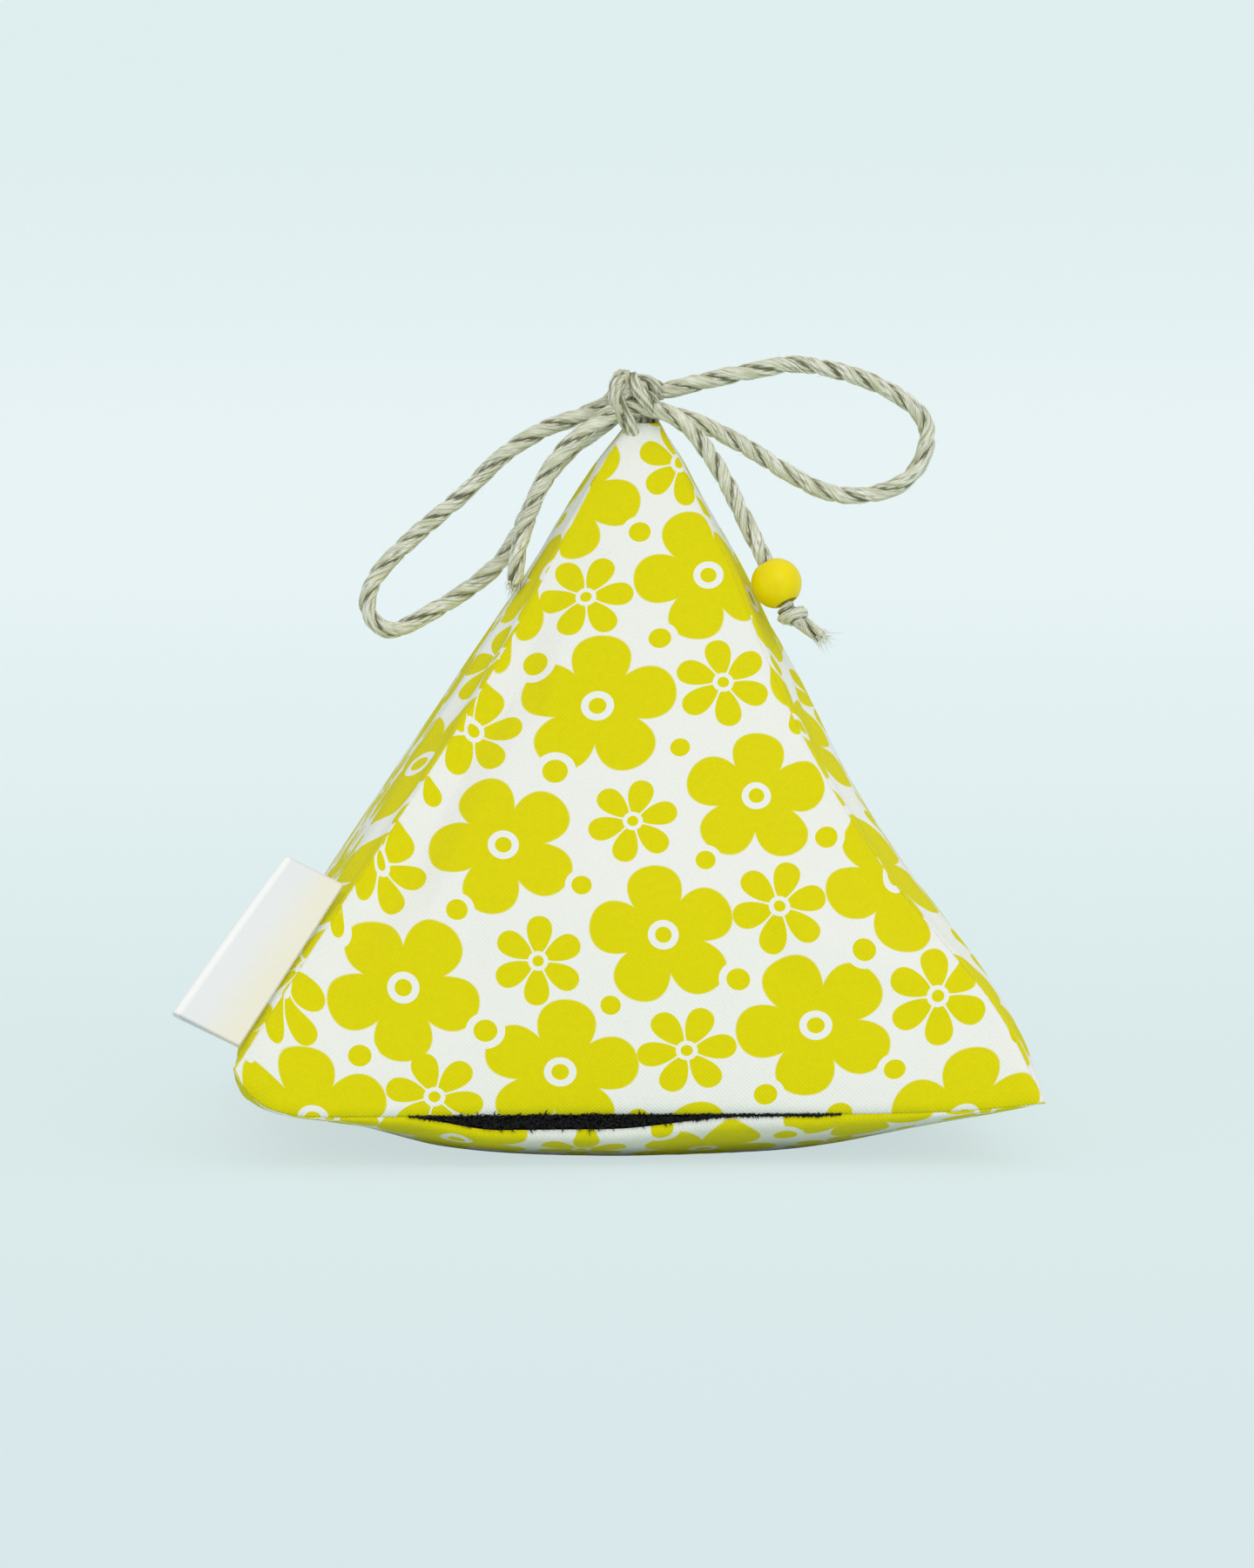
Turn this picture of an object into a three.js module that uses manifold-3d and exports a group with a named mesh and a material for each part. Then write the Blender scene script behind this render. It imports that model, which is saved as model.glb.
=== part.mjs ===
// Lavender sachet: a puffed pyramid bag of five cotton panels with a refill mouth along its front base
// seam, a tied muslin pouch of lavender inside, a folded ribbon label and a bow of twine with a bead.
// Millimetres, +Z up, front at -Y. The origin is the middle of the flat patch that the bag rests on.
import * as THREE from 'three';
import { mergeVertices } from 'three/addons/utils/BufferGeometryUtils.js';
import Module from 'manifold-3d';

// Driving dimensions: the bag
const BASE_WIDTH = 124;
const APEX_HEIGHT = 112;
const CORNER_LIFT = 10;
const LEFT_CORNER_LIFT = 3.5;
const BASE_SEAM_DIP = 2.7;
const BASE_SEAM_PULL = 3.5;
const BASE_BULGE = 11;
const EDGE_PULL = 5;
const FACE_BULGE = 6.2;
const TIP_LEAN = 4.1;
const CLOTH = 0.9;
const CLEARANCE = 0.3;
const THREAD_DIAMETER = 0.5;

// Driving dimensions: the refill mouth and its hook and loop strips
const MOUTH_LENGTH = 68;
const MOUTH_OFFSET = -3;
const MOUTH_DROP = 3.3;
const STRIP_DEPTH = 10;
const STRIP_THICKNESS = 0.8;
const STRIP_RECESS = 2.2;

// Driving dimensions: the inner pouch and its filling
const POUCH_WALL = 0.6;
const POUCH_SLACK = 0.5;
const POUCH_SHOULDER_HEIGHT = 84;
const NECK_RADIUS = 4.5;
const NECK_RISE = 7;
const NECK_FRILL = 4.5;
const NECK_FLARE = 1.5;
const TIE_DIAMETER = 1;
const FILLING_SLACK = 0.7;
const FILLING_DROP = 3;

// Driving dimensions: the ribbon label
const LABEL_LENGTH = 32;
const LABEL_REACH = 11.5;
const LABEL_HEIGHT = 30;
const LABEL_STANDOFF = 0.8;
const RIBBON_THICKNESS = 0.35;
const RIBBON_GAP = 0.4;

// Driving dimensions: the twine, its knots and the bead
const CORD_DIAMETER = 2.75;
const LEG_LENGTH = 12;
const KNOT_RADIUS = 4;
const KNOT_GROOVE = 0.35;
const KNOT_SHIFT = -1.5;
const KNOT_FORWARD = 1;
const BEAD_DIAMETER = 8;
const BEAD_TRAVEL = 10;
const END_KNOT_RADIUS = 2.6;
const STUB_LENGTH = 4.4;

// Resolution of the curved surfaces
const PANEL_STEPS = 12;
const BASE_STEPS = 16;
const FLOOR_RINGS = [0.18, 0.36, 0.54, 0.66, 0.78, 0.9];

const COTTON = { color: '#ece66a', roughness: 0.9 };
const STRIP_BLACK = { color: '#1c1b1a', roughness: 0.95 };
const MUSLIN = { color: '#efe8d8', roughness: 0.95 };
const LAVENDER = { color: '#7d749c', roughness: 1 };
const SATIN = { color: '#f6f1e2', roughness: 0.45 };
const TWINE = { color: '#b3a68a', roughness: 0.95 };
const THREAD = { color: '#f4f2ea', roughness: 0.8 };
const BEAD_YELLOW = { color: '#eac128', roughness: 0.25 };

const wasm = await Module();
wasm.setup();

const sachet = new THREE.Group();
const { lerp, smoothstep } = THREE.MathUtils;

function steps(from, to, count) {
  return Array.from({ length: count + 1 }, (_, i) => lerp(from, to, i / count));
}

function addPiece(name, geometry, look, parent = sachet) {
  const mesh = new THREE.Mesh(geometry, new THREE.MeshStandardMaterial({ ...look, metalness: 0 }));
  mesh.name = name;
  parent.add(mesh);
  return mesh;
}

// A closed geometry from points and triangles, turned so that its faces point out
function closedGeometry(points, triangles) {
  const volume = triangles.reduce((sum, [a, b, c]) => {
    const normal = new THREE.Vector3().crossVectors(points[b], points[c]);
    return sum + points[a].dot(normal);
  }, 0);
  const facingOut = volume > 0 ? triangles : triangles.map(([a, b, c]) => [a, c, b]);
  const geometry = new THREE.BufferGeometry();
  geometry.setAttribute('position', new THREE.Float32BufferAttribute(points.flatMap((p) => p.toArray()), 3));
  geometry.setIndex(facingOut.flat());
  geometry.computeVertexNormals();
  return geometry;
}

// A curved sheet with a thickness: its outer and inner faces over the same grid, closed round the rim
function slab(outer, inner, across, along) {
  const rows = along.length;
  const count = across.length * rows;
  const points = [outer, inner].flatMap((face) => across.flatMap((u) => along.map((t) => face(u, t))));
  const at = (i, j, layer) => i * rows + j + layer * count;
  const triangles = [];
  const quad = (a, b, c, d) => triangles.push([a, b, c], [a, c, d]);
  for (let i = 0; i + 1 < across.length; i += 1) {
    for (let j = 0; j + 1 < rows; j += 1) {
      quad(at(i, j, 0), at(i + 1, j, 0), at(i + 1, j + 1, 0), at(i, j + 1, 0));
      quad(at(i, j, 1), at(i, j + 1, 1), at(i + 1, j + 1, 1), at(i + 1, j, 1));
    }
    const last = rows - 1;
    quad(at(i, 0, 0), at(i, 0, 1), at(i + 1, 0, 1), at(i + 1, 0, 0));
    quad(at(i, last, 0), at(i + 1, last, 0), at(i + 1, last, 1), at(i, last, 1));
  }
  for (let j = 0; j + 1 < rows; j += 1) {
    const last = across.length - 1;
    quad(at(0, j, 0), at(0, j + 1, 0), at(0, j + 1, 1), at(0, j, 1));
    quad(at(last, j, 0), at(last, j, 1), at(last, j + 1, 1), at(last, j + 1, 0));
  }
  return closedGeometry(points, triangles);
}

// A closed solid skinned over rings of points, with a pole at each end
function ringSolid(firstPole, rings, lastPole) {
  const size = rings[0].length;
  const points = [firstPole, ...rings.flat(), lastPole];
  const last = points.length - 1;
  const at = (ring, i) => 1 + ring * size + (i % size);
  const triangles = [];
  for (let i = 0; i < size; i += 1) {
    triangles.push([0, at(0, i + 1), at(0, i)]);
    triangles.push([last, at(rings.length - 1, i), at(rings.length - 1, i + 1)]);
    for (let ring = 0; ring + 1 < rings.length; ring += 1) {
      triangles.push([at(ring, i), at(ring, i + 1), at(ring + 1, i + 1)]);
      triangles.push([at(ring, i), at(ring + 1, i + 1), at(ring + 1, i)]);
    }
  }
  return closedGeometry(points, triangles);
}

// A round tube of flat sides swept along a smooth line through the points
function tube(points, diameter, sides, stepCount) {
  const section = new THREE.Shape(
    steps(0, 2 * Math.PI, sides)
      .slice(0, sides)
      .map((angle) => new THREE.Vector2(Math.cos(angle), Math.sin(angle)).multiplyScalar(diameter / 2)),
  );
  const extrudePath = new THREE.CatmullRomCurve3(points);
  return new THREE.ExtrudeGeometry(section, { steps: stepCount, extrudePath });
}

function toManifold(geometry) {
  const bare = geometry.clone();
  bare.deleteAttribute('normal');
  bare.deleteAttribute('uv');
  const merged = mergeVertices(bare, 1e-4);
  const vertProperties = new Float32Array(merged.attributes.position.array);
  const triVerts = new Uint32Array(merged.index.array);
  return new wasm.Manifold(new wasm.Mesh({ numProp: 3, vertProperties, triVerts }));
}

function joined(first, second) {
  const mesh = toManifold(first).add(toManifold(second)).getMesh();
  const geometry = new THREE.BufferGeometry();
  geometry.setAttribute('position', new THREE.BufferAttribute(mesh.vertProperties, 3));
  geometry.setIndex(new THREE.BufferAttribute(mesh.triVerts, 1));
  geometry.computeVertexNormals();
  return geometry;
}

// The bag's shape
// The tip is sewn closed round two legs of twine that stand corner to corner in it.
const legOffset = (CORD_DIAMETER + CLEARANCE) / 2 / Math.SQRT2;
const tipHalf = legOffset + CORD_DIAMETER / 2 + CLEARANCE + CLOTH;
const baseHalf = BASE_WIDTH / 2;

// Height of the base seam over its plan place, each of u and w from -1 to 1: lowest in the middle of a
// side, highest at the corners, and the front left corner is turned up further
function seamHeight(u, w) {
  const turnedUp = LEFT_CORNER_LIFT * ((1 - u) / 2) ** 3 * ((1 - w) / 2) ** 3;
  return CORNER_LIFT - BASE_SEAM_DIP * (1 - u * u * w * w) + turnedUp;
}

// Half the distance between two neighbouring upright seams, at share v of the way up
function halfWidth(v) {
  return lerp(baseHalf, tipHalf, v) - EDGE_PULL * Math.sin(Math.PI * v ** 1.15) ** 2;
}

// How far the middle of a face swells past its seams; the base seam draws it in
function faceBulge(v) {
  return FACE_BULGE * Math.sin(Math.PI * v ** 0.75) - BASE_SEAM_PULL * (1 - v) ** 10;
}

// The bag stands upright on its belly and leans to the right towards its tip
function leanAt(v) {
  return TIP_LEAN * smoothstep(v, 0.35, 1);
}

// The four faces, each the front face turned about the upright
const upright = new THREE.Vector3(0, 0, 1);
const sides = [
  { name: 'front', turn: 0 },
  { name: 'right', turn: Math.PI / 2 },
  { name: 'back', turn: Math.PI },
  { name: 'left', turn: -Math.PI / 2 },
];
const [front, right, back, left] = sides.map(({ turn }) => turn);

function seamHeightOf(turn, u) {
  const plan = new THREE.Vector3(u, -1, 0).applyAxisAngle(upright, turn);
  return seamHeight(plan.x, plan.y);
}

// A point of a face, u from -1 to 1 across it and v from 0 to 1 up it, or of a surface inset behind it
function facePoint(turn, u, v, inset) {
  const half = halfWidth(v) - inset;
  const across = u * (half - CLEARANCE);
  const outward = half + (1 - u * u) * faceBulge(v);
  const point = new THREE.Vector3(across, -outward, lerp(seamHeightOf(turn, u), APEX_HEIGHT, v));
  point.applyAxisAngle(upright, turn);
  point.x += leanAt(v);
  return point;
}

function shareAbove(turn, u, rise) {
  return rise / (APEX_HEIGHT - seamHeightOf(turn, u));
}

// How far the mouth's slack lowers the base panel's front edge
const mouthStart = (MOUTH_OFFSET - MOUTH_LENGTH / 2) / baseHalf;
const mouthEnd = (MOUTH_OFFSET + MOUTH_LENGTH / 2) / baseHalf;
function mouthDrop(u) {
  const share = (2 * u - mouthStart - mouthEnd) / (mouthEnd - mouthStart);
  return Math.abs(share) < 1 ? MOUTH_DROP * (1 - share * share) : 0;
}

// A point of the base panel's underside, raised by rise and set in from the base seam by setback
function basePoint(u, w, rise, setback) {
  const x = u * (baseHalf - BASE_SEAM_PULL * (1 - w * w) - setback);
  const y = w * (baseHalf - BASE_SEAM_PULL * (1 - u * u) - setback);
  const sag = BASE_BULGE * ((1 - u * u) * (1 - w * w)) ** 0.75;
  const slack = mouthDrop(u) * ((1 - w) / 2) ** 3;
  return new THREE.Vector3(x, y, Math.max(0, seamHeight(u, w) - sag - slack) + rise);
}

// Cotton panels
// Shares from -1 to 1 that crowd towards both ends, where the base panel turns up to its seam
const crowded = (count) => steps(-Math.PI / 2, Math.PI / 2, count).map((angle) => Math.sin(angle));
const panelGrid = crowded(PANEL_STEPS);
const panelRows = steps(0, 1, PANEL_STEPS);
for (const { name, turn } of sides) {
  const at = (inset) => (u, t) => {
    const start = shareAbove(turn, u, CLEARANCE + inset);
    return facePoint(turn, u, lerp(start, 1, t), inset);
  };
  addPiece(`${name}_panel`, slab(at(0), at(CLOTH), panelGrid, panelRows), COTTON);
}
const baseSetback = 2 * CLEARANCE + CLOTH;
const underside = (u, w) => basePoint(u, w, 0, 2 * CLEARANCE);
const topside = (u, w) => basePoint(u, w, CLOTH, baseSetback);
const baseGrid = crowded(BASE_STEPS);
addPiece('base_panel', slab(underside, topside, baseGrid, baseGrid), COTTON);

// Hook and loop strips: they lie one on the other on the base panel, just behind the mouth
const stripAcross = steps(mouthStart, mouthEnd, PANEL_STEPS);
const stripFront = -1 + (STRIP_RECESS - baseSetback) / baseHalf;
const stripBack = stripFront + STRIP_DEPTH / baseHalf;
const stripAlong = steps(stripFront, stripBack, 3);
const stripPitch = STRIP_THICKNESS + CLEARANCE;
['loop_strip', 'hook_strip'].forEach((name, layer) => {
  const rise = CLOTH + CLEARANCE + layer * stripPitch;
  const below = (u, w) => basePoint(u, w, rise, baseSetback);
  const above = (u, w) => basePoint(u, w, rise + STRIP_THICKNESS, baseSetback);
  addPiece(name, slab(below, above, stripAcross, stripAlong), STRIP_BLACK);
});

// Sewing threads: each runs up the inner corner of its seam, and one runs round the base to the mouth
const threadInset = CLOTH + CLEARANCE + THREAD_DIAMETER / 2;
const seamShares = steps(0.06, 0.94, 8);
const seamPoint = (turn, v, inset) => {
  const corner = halfWidth(v) - inset;
  const point = new THREE.Vector3(-corner, -corner, 0).applyAxisAngle(upright, turn);
  return point.add(new THREE.Vector3(leanAt(v), 0, lerp(seamHeightOf(turn, -1), APEX_HEIGHT, v)));
};
const seamNames = ['front_left', 'front_right', 'back_right', 'back_left'];
seamNames.forEach((name, i) => {
  const points = seamShares.map((v) => seamPoint(sides[i].turn, v, threadInset));
  addPiece(`${name}_seam_thread`, tube(points, THREAD_DIAMETER, 6, 12), THREAD);
});
const baseThreadRise = 2 * (CLOTH + CLEARANCE) + THREAD_DIAMETER;
function baseThreadSide(turn, shares) {
  return shares.map((u) => facePoint(turn, u, shareAbove(turn, u, baseThreadRise), threadInset + CLEARANCE));
}
const threadCorner = 0.93;
const wholeSide = crowded(8).map((share) => threadCorner * share);
const baseThread = [
  ...baseThreadSide(front, [mouthEnd, ...wholeSide.slice(-3)]),
  ...baseThreadSide(right, wholeSide),
  ...baseThreadSide(back, wholeSide),
  ...baseThreadSide(left, wholeSide),
  ...baseThreadSide(front, [...wholeSide.slice(0, 3), mouthStart]),
];
addPiece('base_seam_thread', tube(baseThread, THREAD_DIAMETER, 6, 72), THREAD);

// Height of the base panel's upper face over a point of the floor
function baseTop(x, y) {
  let u = 0;
  let w = 0;
  for (let round = 0; round < 6; round += 1) {
    u = x / (baseHalf - BASE_SEAM_PULL * (1 - w * w) - baseSetback);
    w = y / (baseHalf - BASE_SEAM_PULL * (1 - u * u) - baseSetback);
  }
  return topside(THREE.MathUtils.clamp(u, -1, 1), THREE.MathUtils.clamp(w, -1, 1)).z;
}

// Inner pouch: rings of four rounded faces on a floor that clears the strips, gathered into a neck
const ringShares = steps(-0.88, 0.88, 6);
function pouchRing(v, inset) {
  return sides.flatMap(({ turn }) => ringShares.map((u) => facePoint(turn, u, v, inset)));
}
const stripStack = CLEARANCE + 2 * stripPitch;
const floorEdge = (inset) => shareAbove(front, 0, CLOTH + stripStack + 2 * CLEARANCE + 3 * inset);
const shoulder = shareAbove(front, 0, POUCH_SHOULDER_HEIGHT - seamHeight(0, -1));
const stripShare = 1 - (STRIP_RECESS + STRIP_DEPTH) / baseHalf;
function floorRing(share, inset) {
  const overStrips = (stripStack + CLEARANCE) * smoothstep(share, stripShare - 0.14, stripShare);
  const lift = 2 * CLEARANCE + 1.4 * inset + overStrips;
  const rim = Math.max(0, (share - stripShare) / (1 - stripShare));
  return pouchRing(floorEdge(inset), CLOTH + POUCH_SLACK + inset).map((edge) => {
    const point = edge.clone().multiplyScalar(share);
    point.z = lerp(baseTop(point.x, point.y) + lift, edge.z, rim);
    return point;
  });
}
const neckPlace = leanAt(shoulder);
function neckRing(radius, z) {
  return pouchRing(shoulder, 0).map((p) => {
    const round = new THREE.Vector2(p.x - neckPlace, p.y).setLength(radius);
    return new THREE.Vector3(round.x + neckPlace, round.y, z);
  });
}
function bodyRings(inset) {
  const floor = FLOOR_RINGS.map((share) => floorRing(share, inset));
  const walls = steps(floorEdge(inset), shoulder, 8).map((v) => pouchRing(v, CLOTH + POUCH_SLACK + inset));
  return [...floor, ...walls];
}
const neckHeight = POUCH_SHOULDER_HEIGHT + NECK_RISE;
function neckRings(wall) {
  return [
    neckRing(NECK_RADIUS - wall, neckHeight),
    neckRing(NECK_RADIUS - wall, neckHeight + 2 * TIE_DIAMETER),
    neckRing(NECK_RADIUS + NECK_FLARE - wall, neckHeight + NECK_FRILL),
  ];
}
const floorMiddle = (inset) => new THREE.Vector3(0, 0, CLOTH + 2 * CLEARANCE + 1.4 * inset);
const pouchRings = [
  ...bodyRings(0),
  ...neckRings(0),
  ...neckRings(POUCH_WALL).reverse(),
  ...bodyRings(POUCH_WALL).reverse(),
];
addPiece('inner_pouch', ringSolid(floorMiddle(0), pouchRings, floorMiddle(POUCH_WALL)), MUSLIN);

const tieRing = NECK_RADIUS + CLEARANCE + TIE_DIAMETER / 2;
const tieProfile = steps(0, 2 * Math.PI, 8).map((angle) => {
  const rim = new THREE.Vector2(Math.cos(angle), Math.sin(angle)).multiplyScalar(TIE_DIAMETER / 2);
  return rim.add(new THREE.Vector2(tieRing, 0));
});
const tie = addPiece('pouch_tie', new THREE.LatheGeometry(tieProfile, 24), THREAD);
tie.rotation.x = Math.PI / 2;
tie.position.set(neckPlace, 0, neckHeight + TIE_DIAMETER);

const fillingInset = POUCH_WALL + FILLING_SLACK;
const fillingTop = new THREE.Vector3(neckPlace, 0, POUCH_SHOULDER_HEIGHT - FILLING_DROP);
const filling = ringSolid(floorMiddle(fillingInset), bodyRings(fillingInset).slice(0, -1), fillingTop);
addPiece('lavender_filling', filling, LAVENDER);

// Ribbon label: a folded ribbon in line with the front panel, its open end at the front left seam
const labelSeamFoot = seamHeightOf(front, -1);
const labelShare = (LABEL_HEIGHT - labelSeamFoot) / (APEX_HEIGHT - labelSeamFoot);
const labelSpan = LABEL_LENGTH / 2 / (APEX_HEIGHT - labelSeamFoot);
const labelFoot = seamPoint(front, labelShare - labelSpan, 0);
const labelHead = seamPoint(front, labelShare + labelSpan, 0);
const alongSeam = new THREE.Vector3().subVectors(labelHead, labelFoot).normalize();
const offFace = new THREE.Vector3().crossVectors(alongSeam, new THREE.Vector3(-1, 0, 0)).normalize();
const offSeam = new THREE.Vector3().crossVectors(offFace, alongSeam);
const labelHalf = RIBBON_THICKNESS + RIBBON_GAP / 2;
const labelSection = new THREE.Shape()
  .moveTo(0, -labelHalf)
  .lineTo(LABEL_REACH - labelHalf, -labelHalf)
  .absarc(LABEL_REACH - labelHalf, 0, labelHalf, -Math.PI / 2, Math.PI / 2, false)
  .lineTo(0, labelHalf)
  .lineTo(0, RIBBON_GAP / 2)
  .lineTo(LABEL_REACH - labelHalf, RIBBON_GAP / 2)
  .absarc(LABEL_REACH - labelHalf, 0, RIBBON_GAP / 2, Math.PI / 2, -Math.PI / 2, true)
  .lineTo(0, -RIBBON_GAP / 2);
const labelGeometry = new THREE.ExtrudeGeometry(labelSection, {
  depth: LABEL_LENGTH,
  bevelEnabled: false,
  curveSegments: 6,
});
const label = addPiece('ribbon_label', labelGeometry, SATIN);
label.quaternion.setFromRotationMatrix(new THREE.Matrix4().makeBasis(offSeam, offFace, alongSeam));
label.position.addVectors(labelFoot, labelHead).divideScalar(2)
  .addScaledVector(alongSeam, -LABEL_LENGTH / 2)
  .addScaledVector(offSeam, labelHalf + LABEL_STANDOFF);

// Bow: the two legs stand in the tip, the knot sits on it, and the loops and tails leave the knot
const knotHeight = APEX_HEIGHT + CLEARANCE + KNOT_RADIUS;
const knotCentre = new THREE.Vector3(TIP_LEAN + KNOT_SHIFT, -KNOT_FORWARD, knotHeight);
const bow = new THREE.Group();
bow.position.copy(knotCentre);
sachet.add(bow);

const legTop = APEX_HEIGHT + CLEARANCE;
const legBottom = APEX_HEIGHT - LEG_LENGTH;
[['front_leg', -1], ['rear_leg', 1]].forEach(([name, side]) => {
  const foot = new THREE.Vector3(TIP_LEAN + side * legOffset, side * legOffset, legBottom);
  const head = foot.clone().setZ(legTop);
  addPiece(name, tube([foot, head], CORD_DIAMETER, 8, 2), TWINE);
});

const knotProfile = steps(-Math.PI / 2, Math.PI / 2, 16).map((angle) => {
  const groove = KNOT_GROOVE * Math.sin(3 * angle) ** 2;
  const radius = Math.max(0, (KNOT_RADIUS - groove) * Math.cos(angle));
  return new THREE.Vector2(radius < 1e-6 ? 0 : radius, (KNOT_RADIUS - groove) * Math.sin(angle));
});
addPiece('bow_knot', new THREE.LatheGeometry(knotProfile, 20), TWINE, bow);

// Routes of the twine, from the middle of the bow knot: x to the right, y to the back, z up
const LEFT_LOOP = [
  [-4.0, 2.3, -1.1], [-9.2, 2.3, -3.2], [-14.6, 2.2, -5.2], [-20.9, 2.1, -9.2], [-27.2, 2.0, -15.3],
  [-34.8, 1.8, -21.8], [-40.6, 1.6, -27.6], [-42.7, 1.4, -32.2], [-41.6, 1.2, -35.8], [-38.2, 1.0, -37.0],
  [-32.2, 0.8, -34.0], [-25.9, 0.6, -30.0], [-21.6, 0.4, -26.2], [-19.0, 0.3, -22.3], [-17.1, 0.2, -18.5],
  [-14.6, 0.1, -13.4], [-10.6, 0.0, -8.6], [-6.4, -0.1, -5.4], [-3.4, -0.2, -3.2],
];
const RIGHT_LOOP = [
  [4.2, 2.0, 0.8], [12.0, 2.0, 2.7], [19.0, 2.0, 4.2], [25.8, 1.9, 5.2], [34.1, 1.8, 3.7],
  [41.0, 1.6, 0.8], [45.4, 1.4, -2.6], [46.7, 1.2, -6.2], [45.4, 1.0, -10.9], [41.7, 0.8, -14.3],
  [36.0, 0.6, -15.7], [30.2, 0.4, -15.0], [23.9, 0.2, -11.8], [17.6, 0.0, -7.9], [10.6, -0.2, -4.3],
  [4.1, -0.4, -2.2],
];
const LEFT_TAIL = [
  [-2.6, -3.6, -1.6], [-7.2, -4.6, -4.6], [-11.8, -5.0, -8.6], [-15.0, -5.4, -13.4], [-17.1, -6.0, -18.5],
  [-18.7, -6.8, -23.5], [-19.5, -7.6, -29.7],
];
const RIGHT_TAIL_TOP = [
  [2.8, -3.4, -1.6], [6.4, -4.8, -3.4], [9.6, -6.0, -6.4],
];
const BEAD_CENTRE = new THREE.Vector3(21.7, -12.5, -29.2);
const TAIL_DIRECTION = new THREE.Vector3(0.425, -0.242, -0.872).normalize();
const STUB_DIRECTION = new THREE.Vector3(0.78, -0.22, -0.58).normalize();
const vectors = (list) => list.map((p) => new THREE.Vector3(...p));

addPiece('left_loop', tube(vectors(LEFT_LOOP), CORD_DIAMETER, 8, 24), TWINE, bow);
addPiece('right_loop', tube(vectors(RIGHT_LOOP), CORD_DIAMETER, 8, 24), TWINE, bow);
addPiece('left_tail', tube(vectors(LEFT_TAIL), CORD_DIAMETER, 8, 7), TWINE, bow);

// Bead on the straight end of the right tail, stopped by the end knot
const boreRadius = CORD_DIAMETER / 2 + CLEARANCE;
const rimDepth = Math.sqrt((BEAD_DIAMETER / 2) ** 2 - boreRadius ** 2);
const rimAngle = Math.asin(rimDepth / (BEAD_DIAMETER / 2));
const beadProfile = steps(-rimAngle, rimAngle, 10).map(
  (angle) => new THREE.Vector2(Math.cos(angle), Math.sin(angle)).multiplyScalar(BEAD_DIAMETER / 2),
);
const beadGeometry = new THREE.LatheGeometry([...beadProfile, beadProfile[0].clone()], 24);
const bead = addPiece('bead', beadGeometry, BEAD_YELLOW, bow);
bead.position.copy(BEAD_CENTRE);
bead.quaternion.setFromUnitVectors(new THREE.Vector3(0, 1, 0), TAIL_DIRECTION);

const seatDepth = Math.sqrt(END_KNOT_RADIUS ** 2 - boreRadius ** 2);
const endKnotReach = rimDepth + CLEARANCE + seatDepth;
const onTail = (reach) => BEAD_CENTRE.clone().addScaledVector(TAIL_DIRECTION, reach);
const straightStart = -(rimDepth + BEAD_TRAVEL + 2 * CORD_DIAMETER);
const tailEnd = endKnotReach - END_KNOT_RADIUS - CLEARANCE;
const rightTail = [...vectors(RIGHT_TAIL_TOP), ...steps(straightStart, tailEnd, 3).map(onTail)];
addPiece('right_tail', tube(rightTail, CORD_DIAMETER, 8, 10), TWINE, bow);

const endKnotCentre = onTail(endKnotReach);
const stubEnd = endKnotCentre.clone().addScaledVector(STUB_DIRECTION, END_KNOT_RADIUS + STUB_LENGTH);
const knotBall = new THREE.SphereGeometry(END_KNOT_RADIUS, 16, 10).translate(...endKnotCentre.toArray());
const stub = tube([endKnotCentre, stubEnd], CORD_DIAMETER, 8, 2);
addPiece('end_knot', joined(knotBall, stub), TWINE, bow);

export default sachet;
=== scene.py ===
import math

import bpy
import numpy as np
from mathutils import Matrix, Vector
from mathutils.kdtree import KDTree


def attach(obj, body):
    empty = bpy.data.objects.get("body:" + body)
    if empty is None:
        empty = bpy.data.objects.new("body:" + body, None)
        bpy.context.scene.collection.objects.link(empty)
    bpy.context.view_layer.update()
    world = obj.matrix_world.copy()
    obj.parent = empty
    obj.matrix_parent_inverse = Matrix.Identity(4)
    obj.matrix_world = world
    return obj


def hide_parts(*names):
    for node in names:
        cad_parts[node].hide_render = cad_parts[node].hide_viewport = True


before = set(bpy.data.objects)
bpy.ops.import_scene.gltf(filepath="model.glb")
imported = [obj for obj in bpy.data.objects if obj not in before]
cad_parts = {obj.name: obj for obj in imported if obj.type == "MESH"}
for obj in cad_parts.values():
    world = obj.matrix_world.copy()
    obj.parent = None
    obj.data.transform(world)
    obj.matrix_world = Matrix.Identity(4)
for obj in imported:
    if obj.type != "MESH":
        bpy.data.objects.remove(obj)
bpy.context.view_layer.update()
MM = 0.001
bpy.ops.object.select_all(action="DESELECT")

# Cotton panels of the bag
# Four upright panels and a base of printed white cotton, sewn right sides together, turned, and stuffed.
# The seams draw the cloth into creases, and the front base seam is left open as the refill mouth.
BASE_HALF = 62 * MM
TIP_HALF = 3.65 * MM
APEX_HEIGHT = 112 * MM
SLANT = 118 * MM
CLOTH = 0.9 * MM


def linear(hex_colour):
    """An sRGB hex colour as linear red, green, blue and alpha."""
    parts = [int(hex_colour[i:i + 2], 16) / 255 for i in (1, 3, 5)]
    return [c / 12.92 if c <= 0.04045 else ((c + 0.055) / 1.055) ** 2.4 for c in parts] + [1]


COTTON_WHITE = linear("#f4f5ee")
PRINT_YELLOW = linear("#e9e100")
PRINT_DEEP = linear("#ddd300")

# On an upright panel, u runs across from -1 to 1 and v up from 0 at the foot to 1 at the tip. On the
# base, u runs to the right and w to the back, both from -1 to 1. The starts, ends and tops of forms below
# are such places, and a fade or a sharpness is the power that a form dies away with.


def smoothstep(value, low, high):
    """A smooth rise from 0 at low to 1 at high."""
    share = np.clip((value - low) / (high - low), 0, 1)
    return share * share * (3 - 2 * share)


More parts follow.
